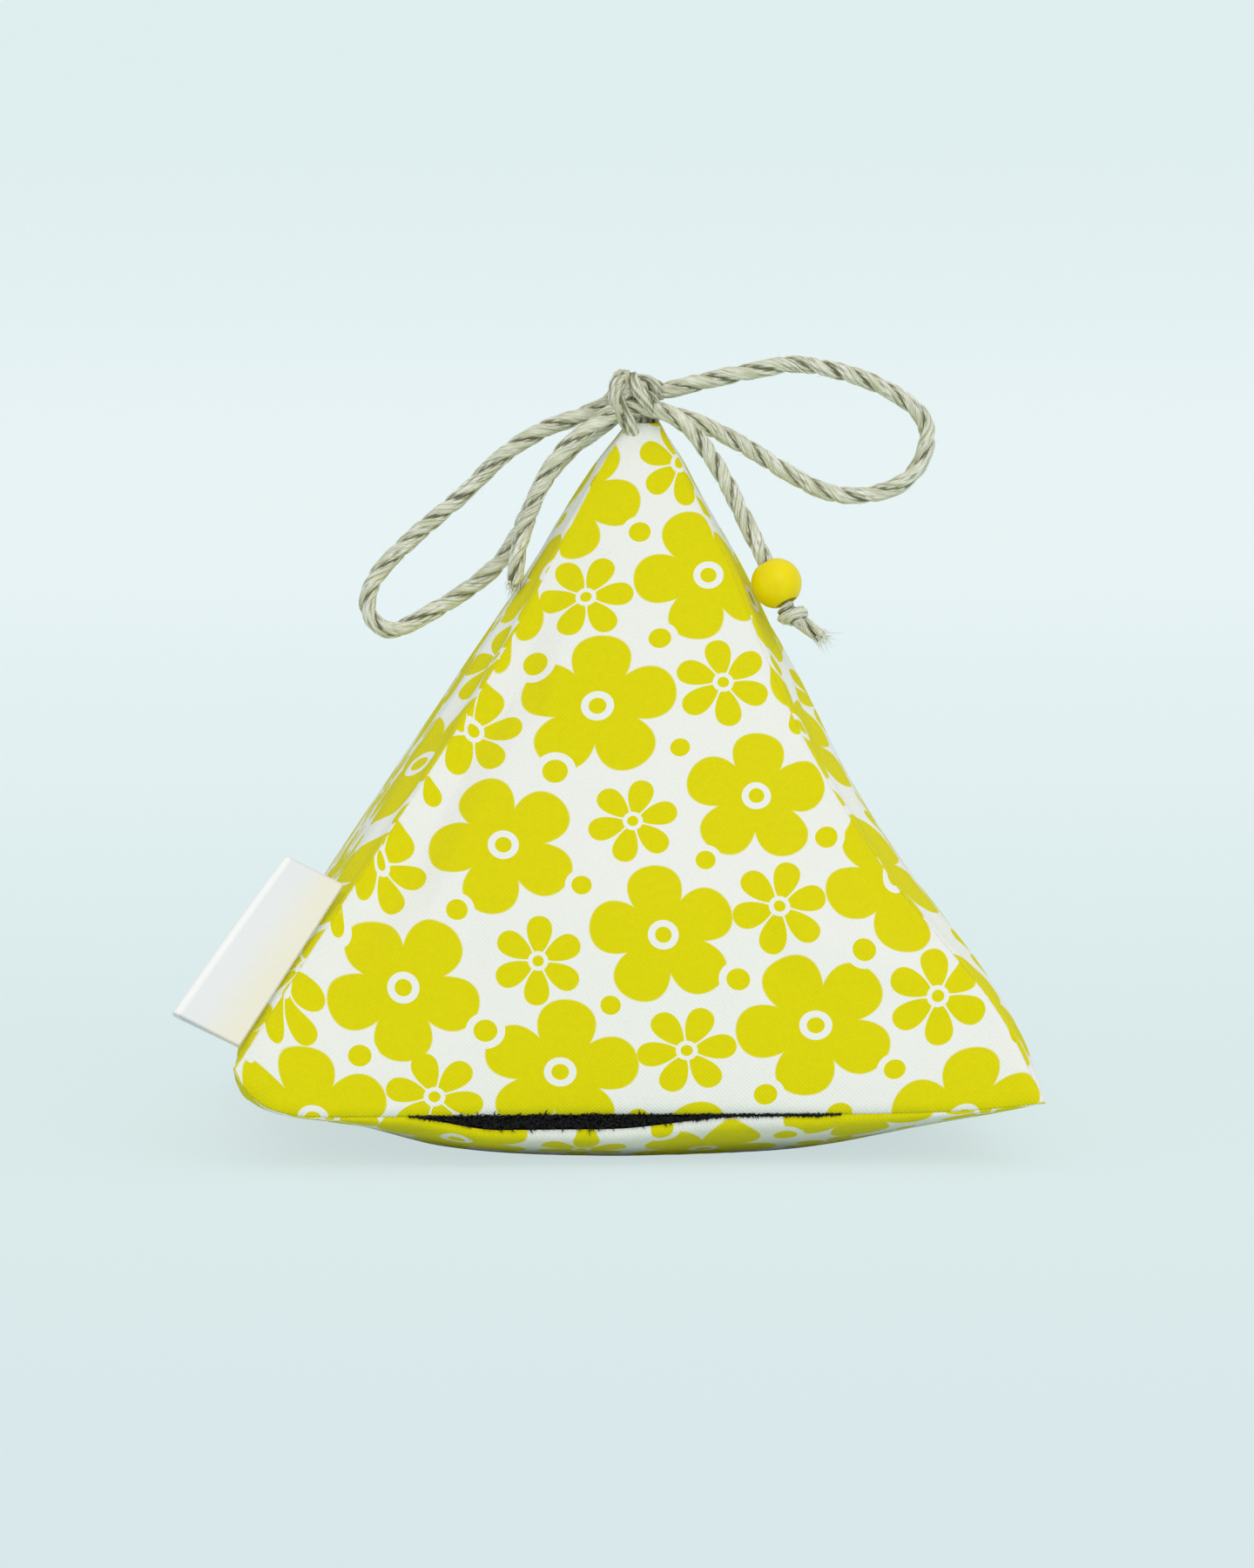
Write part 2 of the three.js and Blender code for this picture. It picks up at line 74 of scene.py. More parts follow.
# The base seam is lifted at the corners, most at the front left one, and the mouth's tapes hold its front
# edge level almost to its two corners.
CORNER_LIFT = 10 * MM
LEFT_CORNER_LIFT = 3.5 * MM
LEFT_CORNER_FADE = 3
BASE_SEAM_DIP = 2.7 * MM
LIP_HEIGHT = 8.35 * MM
LIP_FADE = 6
LEFT_TURN_UP = CORNER_LIFT + LEFT_CORNER_LIFT - LIP_HEIGHT
LEFT_TURN_SHARPNESS = 20
RIGHT_TURN_UP = 1.9 * MM
RIGHT_TURN_SHARPNESS = 6


def slack_seam(u, w):
    """Height of the base seam over its place in plan, before the tapes level its front edge."""
    left_corner = ((1 - u) / 2) ** LEFT_CORNER_FADE * ((1 - w) / 2) ** LEFT_CORNER_FADE
    return CORNER_LIFT - BASE_SEAM_DIP * (1 - u * u * w * w) + LEFT_CORNER_LIFT * left_corner


def seam_height(u, w):
    """Height of the base seam over its place in plan."""
    left = LEFT_TURN_UP * np.abs(u) ** LEFT_TURN_SHARPNESS
    right = RIGHT_TURN_UP * np.abs(u) ** RIGHT_TURN_SHARPNESS
    lip = LIP_HEIGHT + np.where(u < 0, left, right)
    return slack_seam(u, w) + (lip - slack_seam(u, -1)) * ((1 - w) / 2) ** LIP_FADE


# The stuffing presses an upright panel's face out, and its seams draw its edges in. The bag's right side
# is fuller near the foot, and its tip leans to the right with a slimmer right shoulder.
EDGE_PULL = 3.7 * MM
EDGE_PULL_SKEW = 1.07
FACE_BULGE = 3.3 * MM
FACE_BULGE_SKEW = 0.7
BASE_SEAM_PULL = 3.5 * MM
BASE_SEAM_FADE = 10
RIGHT_FLARE = 2.2 * MM
FLARE_TOP = 0.3
TIP_LEAN = 4.1 * MM
LEAN_START = 0.35
SHOULDER_TRIM = 0.14
SHOULDER_START = 0.76
SHOULDER_END = 0.92


def half_width(v):
    """Half the width of an upright panel, which is also its edges' distance out from the bag's middle."""
    drawn_in = EDGE_PULL * np.sin(np.pi * v ** EDGE_PULL_SKEW) ** 2
    return BASE_HALF + (TIP_HALF - BASE_HALF) * v - drawn_in


def face_bulge(v):
    """How far the middle of an upright panel stands out past its edges."""
    return FACE_BULGE * np.sin(np.pi * v ** FACE_BULGE_SKEW) - BASE_SEAM_PULL * (1 - v) ** BASE_SEAM_FADE


def tip_shift(x, v):
    """How far a point of an upright panel lies to the right of its place on an even bag."""
    lean = TIP_LEAN * smoothstep(v, LEAN_START, 1)
    trimmed = SHOULDER_TRIM * smoothstep(v, SHOULDER_START, SHOULDER_END) * np.maximum(x, 0)
    filled_out = RIGHT_FLARE * np.sin(np.pi * np.clip(v / FLARE_TOP, 0, 1)) * np.clip(x / BASE_HALF, 0, 1)
    return lean - trimmed + filled_out


# The mouth gapes on its left and thins to a slit on its right.
MOUTH_MIDDLE = -3 * MM
MOUTH_HALF = 34 * MM
MOUTH_START = (MOUTH_MIDDLE - MOUTH_HALF) / BASE_HALF
MOUTH_END = (MOUTH_MIDDLE + MOUTH_HALF) / BASE_HALF
MOUTH_FADE = 12
MOUTH_GAPE = 1.9 * MM
GAPE_START = -0.33
GAPE_END = -0.08
GAPE_CLOSED = 0.28
MOUTH_SLIT = 0.3 * MM
SLIT_START = MOUTH_START + 0.045
SLIT_TAPER = 0.05


def mouth_drop(u):
    """How far the base panel's front edge hangs away from the front panel along the mouth."""
    gape = smoothstep(u, SLIT_START, GAPE_START) * (1 - smoothstep(u, GAPE_END, GAPE_CLOSED))
    opens = smoothstep(u, SLIT_START, SLIT_START + SLIT_TAPER)
    closes = smoothstep(u, MOUTH_END - SLIT_TAPER, MOUTH_END)
    return MOUTH_GAPE * gape + MOUTH_SLIT * opens * (1 - closes)


# The stitches draw the cloth in along the seams, into a crease and small uneven gathers beside it, and
# the stuffing is a little lumpy. Near the tip, where half a panel is less than a NARROW width, they shrink.
CREASE_DEPTH = 0.8 * MM
CREASE_REACH = 2.0 * MM
CREASE_FADE = 8
CREASE_FOOT = 0.04
ROLLED_SHARE = 0.71
PUCKER_DEPTH = 0.25 * MM
PUCKER_REACH = 5 * MM
PUCKER_START = 0.25 * PUCKER_REACH
PUCKER_LENGTHS_MM = (5, 10)
PUCKER_SEAM_SEED = 60
PUCKER_FOOT_SEED = 70
LUMP_DEPTH = 0.3 * MM
LUMP_LENGTHS_MM = (22, 46)
LUMP_SEED = 30
ANY_PHASE = (0, 6.3)
NARROW_FOLD = 9 * MM
NARROW_CREASE = 14 * MM
NARROW_GATHERS = 20 * MM


def crease(distance, reach):
    """Share of the crease's depth at a distance from the seam."""
    return np.clip(1 - distance / reach, 0, 1) ** 2


def puckers(along, away, seed):
    """Small uneven gathers that the stitches draw in the cloth beside a seam, between about -1 and 1."""
    chance = np.random.default_rng(seed)
    total = np.zeros_like(along)
    for _ in range(3):
        turns = along / (chance.uniform(*PUCKER_LENGTHS_MM) * MM)
        total += np.sin(2 * np.pi * turns + chance.uniform(*ANY_PHASE))
    return total / 2 * np.exp(-away / PUCKER_REACH) * (1 - np.exp(-away / PUCKER_START))


def lumps(x, y, seed):
    """Slow uneven swells of the stuffing, between about -1 and 1."""
    chance = np.random.default_rng(seed)
    total = np.zeros_like(x)
    for _ in range(7):
        heading = chance.uniform(0, 2 * np.pi)
        turns = (x * math.cos(heading) + y * math.sin(heading)) / (chance.uniform(*LUMP_LENGTHS_MM) * MM)
        total += np.sin(2 * np.pi * turns + chance.uniform(*ANY_PHASE))
    return total / 4


# The stuffing doesn't fill the front left corner to its point, so that corner is blunt.
BLUNT_REACH = 12 * MM
BLUNT_CUT = 2.0 * MM
BLUNT_LIFT = 2.5 * MM


def blunted(points):
    """Points with the front left corner rounded."""
    into_corner = -(points[:, 0] + points[:, 1]) / math.sqrt(2)
    past = np.clip(into_corner - (math.sqrt(2) * BASE_HALF - BLUNT_REACH), 0, BLUNT_REACH) / BLUNT_REACH
    back = BLUNT_CUT * past ** 2 / math.sqrt(2)
    return points + np.column_stack([back, back, BLUNT_LIFT * past ** 2])


def turned(x, y, turn):
    """A place in plan, turned about the bag's upright axis."""
    return x * math.cos(turn) - y * math.sin(turn), x * math.sin(turn) + y * math.cos(turn)


def panel_height(turn, u, v):
    """Height of a point of an upright panel, which stands on the base seam."""
    foot = seam_height(*turned(u, -np.ones_like(u), turn))
    return foot + (APEX_HEIGHT - foot) * v


TUCK = 2.2 * MM
TUCK_RISE = 0.2 * MM
RIM_ROUND = 0.7 * MM
RIM_START = 0.93


def side_panel(turn, u, v, tuck, creased):
    """Points of an upright panel, creased or not, its top rounded in round the twine by tuck."""
    half = half_width(v)
    from_edge = (1 - np.abs(u)) * half
    from_foot = v * SLANT
    side_seed = round(2 * turn)
    fold = CREASE_REACH * np.minimum(1, half / NARROW_FOLD)
    rolled = CREASE_DEPTH * np.minimum(1, half / NARROW_CREASE) * crease(from_edge, fold)
    rolled = ROLLED_SHARE * creased * rolled * smoothstep(v, 0, CREASE_FOOT)
    drawn = creased * CREASE_DEPTH * crease(from_foot, CREASE_REACH) * (1 - u ** CREASE_FADE)
    lumpy = LUMP_DEPTH * lumps(u * half, from_foot, LUMP_SEED + side_seed) * np.sin(np.pi * v)
    swell = (1 - u * u) * (face_bulge(v) + creased * lumpy)
    beside = puckers(from_foot, from_edge, PUCKER_SEAM_SEED + side_seed)
    above = puckers(u * BASE_HALF, from_foot, PUCKER_FOOT_SEED + side_seed)
    gathers = creased * PUCKER_DEPTH * (beside * np.minimum(1, half / NARROW_GATHERS) + above)
    tucked = TUCK * (1 - np.cos(tuck * np.pi / 2)) + RIM_ROUND * smoothstep(v, RIM_START, 1)
    across = u * (half - tucked) - np.sign(u) * rolled
    outward = half + swell + gathers - rolled - drawn - tucked
    x, y = turned(across, -outward, turn)
    z = panel_height(turn, u, v) + TUCK_RISE * np.sin(tuck * np.pi)
    return blunted(np.column_stack([x + tip_shift(x, v), y, z]))


# The base hangs down between its seams until it rests on the table, and less towards its left and right.
BASE_BULGE = 11 * MM
SAG_ACROSS = 0.75
SAG_BACK = 0.55
LEFT_EAR = 0.5
RIGHT_EAR = 0.25
EAR_START = 0.48
EAR_END = 0.88


def base_panel(u, w, creased, rise=0, setback=0):
    """Points of the base panel's underside, with or without its creases, or of a sheet that lies on it."""
    x = u * (BASE_HALF - BASE_SEAM_PULL * (1 - w * w) - setback)
    y = w * (BASE_HALF - BASE_SEAM_PULL * (1 - u * u) - setback)
    ear = np.where(u < 0, LEFT_EAR, RIGHT_EAR) * smoothstep(np.abs(u), EAR_START, EAR_END)
    sag = BASE_BULGE * (1 - u * u) ** SAG_ACROSS * (1 - w * w) ** SAG_BACK * (1 - ear)
    slack = mouth_drop(u) * ((1 - w) / 2) ** MOUTH_FADE
    z = np.maximum(0, seam_height(u, w) - sag - slack)
    drawn_x = crease((1 - np.abs(u)) * BASE_HALF, CREASE_REACH) * (1 - w ** CREASE_FADE)
    drawn_y = crease((1 - np.abs(w)) * BASE_HALF, CREASE_REACH) * (1 - u ** CREASE_FADE)
    depth = creased * CREASE_DEPTH
    return blunted(np.column_stack([
        x - np.sign(u) * depth * drawn_x, y - np.sign(w) * depth * drawn_y, z + rise,
    ]))


def add_grid(name, cells):
    """A flat grid from -1 to 1 each way, to be shaped into a sheet, with the places of its points."""
    bpy.ops.mesh.primitive_grid_add(x_subdivisions=cells, y_subdivisions=cells, size=2)
    grid = bpy.context.object
    grid.name = name
    flat = np.empty(len(grid.data.vertices) * 3)
    grid.data.vertices.foreach_get("co", flat)
    return grid, flat.reshape(-1, 3)


def set_points(piece, points):
    piece.data.vertices.foreach_set("co", np.asarray(points, float).ravel())
    piece.data.update()


def take_up(pieces):
    """Selects the pieces alone, the last of them active, for the operators that follow."""
    bpy.ops.object.select_all(action="DESELECT")
    for piece in pieces:
        piece.select_set(True)
    bpy.context.view_layer.objects.active = pieces[-1]


# The puff: a coarse copy of the whole bag is sewn at its seams and inflated as cloth by its filling, and
# each panel then takes its share of the swelling. The open edges and what rests on the table hold still.
SIDES = {"front": 0, "right": math.pi / 2, "back": math.pi, "left": -math.pi / 2}
PUFF_CELLS = 40
PUFF_SEWN = 0.02 * MM
PUFF_ON_TABLE = 0.5 * MM
PUFF_MOMENTS = 21
PUFF_CAP = 1.6 * MM
PUFF_DRAW_IN = 0.25 * MM

puff_rest = {}
puff_pieces = []
for name in (*SIDES, "base"):
    grid, flat = add_grid("puff_" + name, PUFF_CELLS)
    if name == "base":
        puff_rest[name] = base_panel(-flat[:, 0], flat[:, 1], creased=0)
    else:
        puff_rest[name] = side_panel(SIDES[name], flat[:, 0], (flat[:, 1] + 1) / 2, tuck=0, creased=0)
    set_points(grid, puff_rest[name])
    puff_pieces.append(grid)
take_up(puff_pieces)
bpy.ops.object.join()
puff = bpy.context.object
bpy.ops.object.mode_set(mode="EDIT")
bpy.ops.mesh.select_all(action="SELECT")
bpy.ops.mesh.remove_doubles(threshold=PUFF_SEWN)
bpy.ops.object.mode_set(mode="OBJECT")
rest = np.array([v.co for v in puff.data.vertices])
facing = np.array([v.normal for v in puff.data.vertices])
held = puff.vertex_groups.new(name="held")
edge_faces = {}
for polygon in puff.data.polygons:
    for key in polygon.edge_keys:
        edge_faces.setdefault(key, []).append(polygon)
for edge_ends, polygons in edge_faces.items():
    if len(polygons) == 1:
        held.add(edge_ends, 1, "REPLACE")
held.add([i for i, point in enumerate(rest) if point[2] < PUFF_ON_TABLE], 1, "REPLACE")
cloth = puff.modifiers.new("puff", "CLOTH")
cloth.settings.quality = 6
cloth.settings.mass = 0.15
cloth.settings.tension_stiffness = 20
cloth.settings.compression_stiffness = 20
cloth.settings.shear_stiffness = 8
cloth.settings.bending_stiffness = 0.05
cloth.settings.use_pressure = True
cloth.settings.uniform_pressure_force = 3
cloth.settings.vertex_group_mass = "held"
cloth.settings.effector_weights.gravity = 0
cloth.collision_settings.use_collision = False
for moment in range(1, PUFF_MOMENTS + 1):
    bpy.context.scene.frame_set(moment)
bpy.ops.object.modifier_apply(modifier="puff")
bpy.context.scene.frame_set(1)
moved = np.array([v.co for v in puff.data.vertices]) - rest
swollen = np.clip((moved * facing).sum(1), -PUFF_DRAW_IN, PUFF_CAP)[:, None] * facing
sewn_points = KDTree(len(rest))
for i, point in enumerate(rest):
    sewn_points.insert(point, i)
sewn_points.balance()
puff_shift = {}
for name, points in puff_rest.items():
    nearest = [sewn_points.find(point)[1] for point in points]
    puff_shift[name] = swollen[nearest].reshape(PUFF_CELLS + 1, PUFF_CELLS + 1, 3)
bpy.data.objects.remove(puff)


def puffed(name, s, t):
    """The puff's movement of a panel at shares s and t from 0 to 1 across and up its grid."""
    shift = puff_shift[name]
    s, t = s * PUFF_CELLS, t * PUFF_CELLS
    i = np.clip(np.floor(t).astype(int), 0, PUFF_CELLS - 1)
    j = np.clip(np.floor(s).astype(int), 0, PUFF_CELLS - 1)
    a, b = (t - i)[:, None], (s - j)[:, None]
    low = shift[i, j] * (1 - b) + shift[i, j + 1] * b
    high = shift[i + 1, j] * (1 - b) + shift[i + 1, j + 1] * b
    return low * (1 - a) + high * a


def set_inputs(tree, made, inputs):
    """Sets a node's inputs, each to a value, an output, or a node, which stands for its first output."""
    for name, value in inputs.items():
        if isinstance(value, bpy.types.Node):
            value = next(output for output in value.outputs if output.enabled)
        if isinstance(value, bpy.types.NodeSocket):
            tree.links.new(value, made.inputs[name])
        else:
            made.inputs[name].default_value = value


def node(tree, kind, inputs=None, **settings):
    """Adds a node with its settings and its inputs by name or number."""
    made = tree.nodes.new("ShaderNode" + kind)
    for name, value in settings.items():
        setattr(made, name, value)
    set_inputs(tree, made, inputs or {})
    return made


# The sockets of a Mix node for its share and for the colours that it mixes from and to.
SHARE, FROM, TO = 0, 6, 7


def start_material(name, **finish):
    """A new material with its shader's sockets set by name, an underscore standing for a space."""
    material = bpy.data.materials.new(name)
    material.use_nodes = True
    shader = material.node_tree.nodes["Principled BSDF"]
    for socket, value in finish.items():
        shader.inputs[socket.replace("_", " ")].default_value = value
    return material, material.node_tree, shader


# Printed cotton, a plain weave of fairly thick thread: matt, slightly fuzzy, white, with a solid yellow
# print of scattered blossoms and dots that the ink fills a little unevenly. Its sizes are in millimetres.
REPEAT = 27.5
PRINT_TURN = math.radians(33)
SQUARE_MIDDLE = (0.5, 0.5, 0)
BLOSSOM_WANDER = 2.4
BLOSSOM_VARIES = 0.12
PETAL_FLARE = 0.22
INK_EDGE = {"From Min": 0.95, "From Max": 1.05, "To Min": 1, "To Max": 0}
DOT_RADIUS = 1.7
DOT_CLEARING = 2.8
DOT_VARIES = 0.3
MOTTLE_PER_MM = 0.9
# Threads 0.45 mm apart are too fine to show from here, so they are drawn 0.7 mm apart.
THREAD_SPACING = 0.7
printed_cotton, tree, shader = start_material(
    "printed_cotton", Roughness=0.95, Specular_IOR_Level=0.15, Sheen_Weight=0.04, Sheen_Roughness=0.6
)
cloth_place = node(tree, "UVMap", uv_map="cloth")
printed_place = node(tree, "Mapping", {"Vector": cloth_place, "Rotation": (0, 0, PRINT_TURN)})


def from_middle(shift, wander, vary):
    """Where a point lies from the middle of its square of the repeat, and a chance number of the square.
    Each middle wanders a little from the even repeat, and each motif varies a little in size."""
    placed = node(tree, "VectorMath", {0: printed_place, 1: shift}, operation="ADD")
    squares = node(tree, "VectorMath", {0: placed, 1: (REPEAT,) * 3}, operation="DIVIDE")
    square = node(tree, "VectorMath", {0: squares}, operation="FLOOR")
    within = node(tree, "VectorMath", {0: squares, 1: square}, operation="SUBTRACT")
    centred = node(tree, "VectorMath", {0: within, 1: SQUARE_MIDDLE}, operation="SUBTRACT")
    spot = node(tree, "VectorMath", {0: centred, "Scale": REPEAT}, operation="SCALE")
    luck = node(tree, "TexWhiteNoise", {"Vector": square}, noise_dimensions="3D").outputs
    aside = node(tree, "VectorMath", {0: luck["Color"], 1: SQUARE_MIDDLE}, operation="SUBTRACT")
    off = node(tree, "VectorMath", {0: aside, "Scale": wander}, operation="SCALE")
    moved = node(tree, "VectorMath", {0: spot, 1: off}, operation="SUBTRACT")
    level = node(tree, "VectorMath", {0: moved, 1: (1, 1, 0)}, operation="MULTIPLY")
    size = node(tree, "Math", {0: luck["Value"], 1: vary, 2: 1 - vary / 2}, operation="MULTIPLY_ADD")
    sized = node(tree, "VectorMath", {0: level, "Scale": size}, operation="SCALE")
    return sized, luck["Value"]


def with_dot(printed, radius, ring, heart):
    """The print with a clear ring at a motif's middle and a dot in the ring."""
    clear = node(tree, "Math", {0: radius, 1: ring}, operation="GREATER_THAN")
    dot = node(tree, "Math", {0: radius, 1: heart}, operation="LESS_THAN")
    return node(tree, "Math", {0: printed, 1: clear, 2: dot}, operation="MULTIPLY_ADD")


def blossoms(shift, petals, length, width, reach, ring, heart):
    """One blossom in each square, each at its own turn: where the cloth is printed with it."""
    spot, luck = from_middle(shift, BLOSSOM_WANDER, BLOSSOM_VARIES)
    axes = node(tree, "SeparateXYZ", {0: spot}).outputs
    radius = node(tree, "VectorMath", {0: spot}, operation="LENGTH")
    angle = node(tree, "Math", {0: axes["Y"], 1: axes["X"]}, operation="ARCTAN2")
    swung = node(tree, "Math", {0: luck, 1: 2 * math.pi, 2: angle}, operation="MULTIPLY_ADD")
    half = math.pi / petals
    folded = node(tree, "Math", {0: swung, 1: half, 2: -half}, operation="WRAP")
    cosine = node(tree, "Math", {0: folded}, operation="COSINE")
    sine = node(tree, "Math", {0: folded}, operation="SINE")
    out = node(tree, "Math", {0: radius, 1: cosine, 2: -reach}, operation="MULTIPLY_ADD")
    aside = node(tree, "Math", {0: radius, 1: sine}, operation="MULTIPLY")
    spread = node(tree, "Math", {0: out, 1: PETAL_FLARE, 2: width}, operation="MULTIPLY_ADD")
    fullness = node(tree, "Math", {0: aside, 1: spread}, operation="DIVIDE")
    lengthwise = node(tree, "Math", {0: out, 1: length}, operation="DIVIDE")
    squared = node(tree, "Math", {0: fullness, 1: fullness}, operation="MULTIPLY")
    oval = node(tree, "Math", {0: lengthwise, 1: lengthwise, 2: squared}, operation="MULTIPLY_ADD")
    petal = node(tree, "MapRange", {"Value": oval, **INK_EDGE})
    return with_dot(petal, radius, ring, heart)


large = blossoms((0, 0, 0), petals=5, length=5.2, width=4.2, reach=6.5, ring=2.4, heart=1.3)
small = blossoms(
    (REPEAT / 2, REPEAT / 2, 0), petals=6, length=3.1, width=1.9, reach=4.2, ring=1.6, heart=0.9
)
inked = node(tree, "Math", {0: large, 1: small}, operation="MAXIMUM")
for shift in ((0, REPEAT / 2, 0), (REPEAT / 2, 0, 0)):
    spot, _ = from_middle(shift, 0, DOT_VARIES)
    radius = node(tree, "VectorMath", {0: spot}, operation="LENGTH")
    inked = with_dot(inked, radius, DOT_CLEARING, DOT_RADIUS)
mottle = node(
    tree, "TexNoise", {"Vector": cloth_place, "Scale": MOTTLE_PER_MM, "Detail": 4, "Roughness": 0.7}
)
ink = node(tree, "Mix", {SHARE: mottle, FROM: PRINT_YELLOW, TO: PRINT_DEEP}, data_type="RGBA")
dyed = node(tree, "Mix", {SHARE: inked, FROM: COTTON_WHITE, TO: ink}, data_type="RGBA")
thread_turns = node(
    tree, "VectorMath", {0: cloth_place, "Scale": 2 * math.pi / THREAD_SPACING}, operation="SCALE"
)
thread_waves = node(tree, "VectorMath", {0: thread_turns}, operation="SINE")
threads = node(tree, "SeparateXYZ", {0: thread_waves}).outputs
weave = node(tree, "Math", {0: threads["X"], 1: threads["Y"]}, operation="MULTIPLY")
uneven_weave = node(tree, "Math", {0: mottle, 1: 2, 2: weave}, operation="MULTIPLY_ADD")
weave_bump = node(tree, "Bump", {"Height": uneven_weave, "Strength": 0.35, "Distance": 0.12 * MM})
set_inputs(tree, shader, {"Base Color": dyed, "Normal": weave_bump})


def set_places(piece, layer_name, places):
    """Gives a sheet its places on the flat cloth, in millimetres, as its UV map."""
    corners = np.empty(len(piece.data.loops), int)
    piece.data.loops.foreach_get("vertex_index", corners)
    layer = piece.data.uv_layers[0]
    layer.name = layer_name
    layer.data.foreach_set("uv", places[corners].astype(np.float32).ravel())


def thicken(sheet, thickness, **settings):
    """Gives the active sheet its wall, inwards from its points."""
    wall = sheet.modifiers.new("wall", "SOLIDIFY")
    wall.thickness = thickness
    wall.offset = -1
    for name, value in settings.items():
        setattr(wall, name, value)
    bpy.ops.object.modifier_apply(modifier="wall")


def dress(piece, body, cad_node):
    """Says which body a piece moves with, and hides the CAD node that it stands for."""
    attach(piece, body)
    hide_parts(cad_node)


SEAM_CLOTH = 0.25
SEAM_THIN = 0.3 * MM
SEAM_FULL = 2.5 * MM


def finish_panel(panel, places, edge_distance, cad_node):
    set_places(panel, "cloth", places)
    thick = panel.vertex_groups.new(name="thick")
    for index, share in enumerate(smoothstep(edge_distance, SEAM_THIN, SEAM_FULL)):
        thick.add([index], share, "REPLACE")
    bpy.ops.object.shade_smooth()
    thicken(panel, CLOTH, vertex_group="thick", thickness_vertex_group=SEAM_CLOTH)
    panel.vertex_groups.clear()
    panel.data.materials.append(printed_cotton)
    dress(panel, "bag", cad_node)


def crowded(share):
    """Shares from -1 to 1 that lie closer together towards both ends."""
    return 0.35 * share + 0.65 * np.sin(share * np.pi / 2)


# Each panel is cut from its own place on the printed cloth, in millimetres. The tip is stiff with seam
# cloth and twine, so it swells less.
CUT_PLACES = {
    "front": (7, 12),
    "right": (143, 41),
    "back": (61, 205),
    "left": (222, 97),
    "base": (88, 330),
}
PANEL_CELLS = 112
TUCK_ROWS = 8
TIP_STIFFNESS = 0.6
STIFF_START = 0.6
STIFF_END = 0.8
for name, turn in SIDES.items():
    panel, flat = add_grid(name + "_panel_cloth", PANEL_CELLS)
    u = crowded(flat[:, 0])
    rows = (flat[:, 1] + 1) / 2 * PANEL_CELLS
    last_row = PANEL_CELLS - TUCK_ROWS
    v = (crowded(2 * np.minimum(rows / last_row, 1) - 1) + 1) / 2
    tuck = np.clip((rows - last_row) / TUCK_ROWS, 0, 1)
    swelling = 1 - TIP_STIFFNESS * smoothstep(v, STIFF_START, STIFF_END)
    points = side_panel(turn, u, v, tuck, creased=1)
    set_points(panel, points + swelling[:, None] * puffed(name, (u + 1) / 2, v))
    places = np.column_stack([u * half_width(v), v * SLANT]) / MM + CUT_PLACES[name]
    edge_distance = np.minimum((1 - np.abs(u)) * half_width(v), v * SLANT)
    finish_panel(panel, places, edge_distance, name + "_panel")
panel, flat = add_grid("base_panel_cloth", PANEL_CELLS)
u, w = -crowded(flat[:, 0]), crowded(flat[:, 1])
points = base_panel(u, w, creased=1) + puffed("base", (1 - u) / 2, (w + 1) / 2)
points[:, 2] = np.maximum(points[:, 2], 0)
set_points(panel, points)
places = np.column_stack([u, w]) * BASE_HALF / MM + CUT_PLACES["base"]
edge_distance = BASE_HALF * (1 - np.maximum(np.abs(u), np.abs(w)))
finish_panel(panel, places, edge_distance, "base_panel")

# Hook and loop strips
# Two strips of black nylon tape, one woven with loops and one with hooks, sewn just inside the mouth's two
# lips. Pressed together they hold the mouth shut, and their fuzz shows along it.
STRIP_THICKNESS = 0.8 * MM
STRIP_SETBACK = 1.5 * MM
STRIP_FRONT = -1 + 0.7 * MM / BASE_HALF
STRIP_BACK = STRIP_FRONT + 9.3 * MM / BASE_HALF
STRIP_CELLS = 72
LOOP_RISE = 1.2 * MM
HOOK_RISE = 2.3 * MM
LOOP_FUZZ_HEIGHTS = (0.1, 0.6)
HOOK_FUZZ_HEIGHTS = (0.5, 1.15)
FUZZ_COUNT = 520
FUZZ_LENGTH = 1.1 * MM
FUZZ_SHORTEST = 0.3
FUZZ_CLOSED = 0.35
FUZZ_RADIUS = 0.17 * MM
FUZZ_PROUD = 0.15 * MM
FUZZ_ASIDE = 0.8
FUZZ_OUT = 0.4
FUZZ_UP = (0.15, 0.6)
FUZZ_BEND = 0.3
NYLON_BLACK = linear("#0c0c0e")
NYLON_GREY = linear("#343436")

# Napped nylon tape: deep matt black, with greyer fibre ends, about 0.4 mm apart, where the nap catches
# the light.
NAP_PER_METRE = 2600
black_nylon, tree, shader = start_material(
    "black_nylon_nap", Roughness=0.9, Specular_IOR_Level=0.2, Sheen_Weight=0.06
)
place = node(tree, "TexCoord").outputs["Object"]
nap = node(tree, "TexNoise", {"Vector": place, "Scale": NAP_PER_METRE, "Detail": 2})
nap_share = node(tree, "MapRange", {"Value": nap, "From Min": 0.45, "From Max": 0.8})
nap_tone = node(tree, "Mix", {SHARE: nap_share, FROM: NYLON_BLACK, TO: NYLON_GREY}, data_type="RGBA")
nap_bump = node(tree, "Bump", {"Height": nap, "Strength": 0.9, "Distance": 0.3 * MM})
set_inputs(tree, shader, {"Base Color": nap_tone, "Normal": nap_bump})


def unit(vectors):
    return vectors / np.linalg.norm(vectors, axis=-1, keepdims=True)


def any_side(heading):
    """A direction at right angles to a heading."""
    return unit(np.cross(heading, heading[[1, 2, 0]] + 0.3))


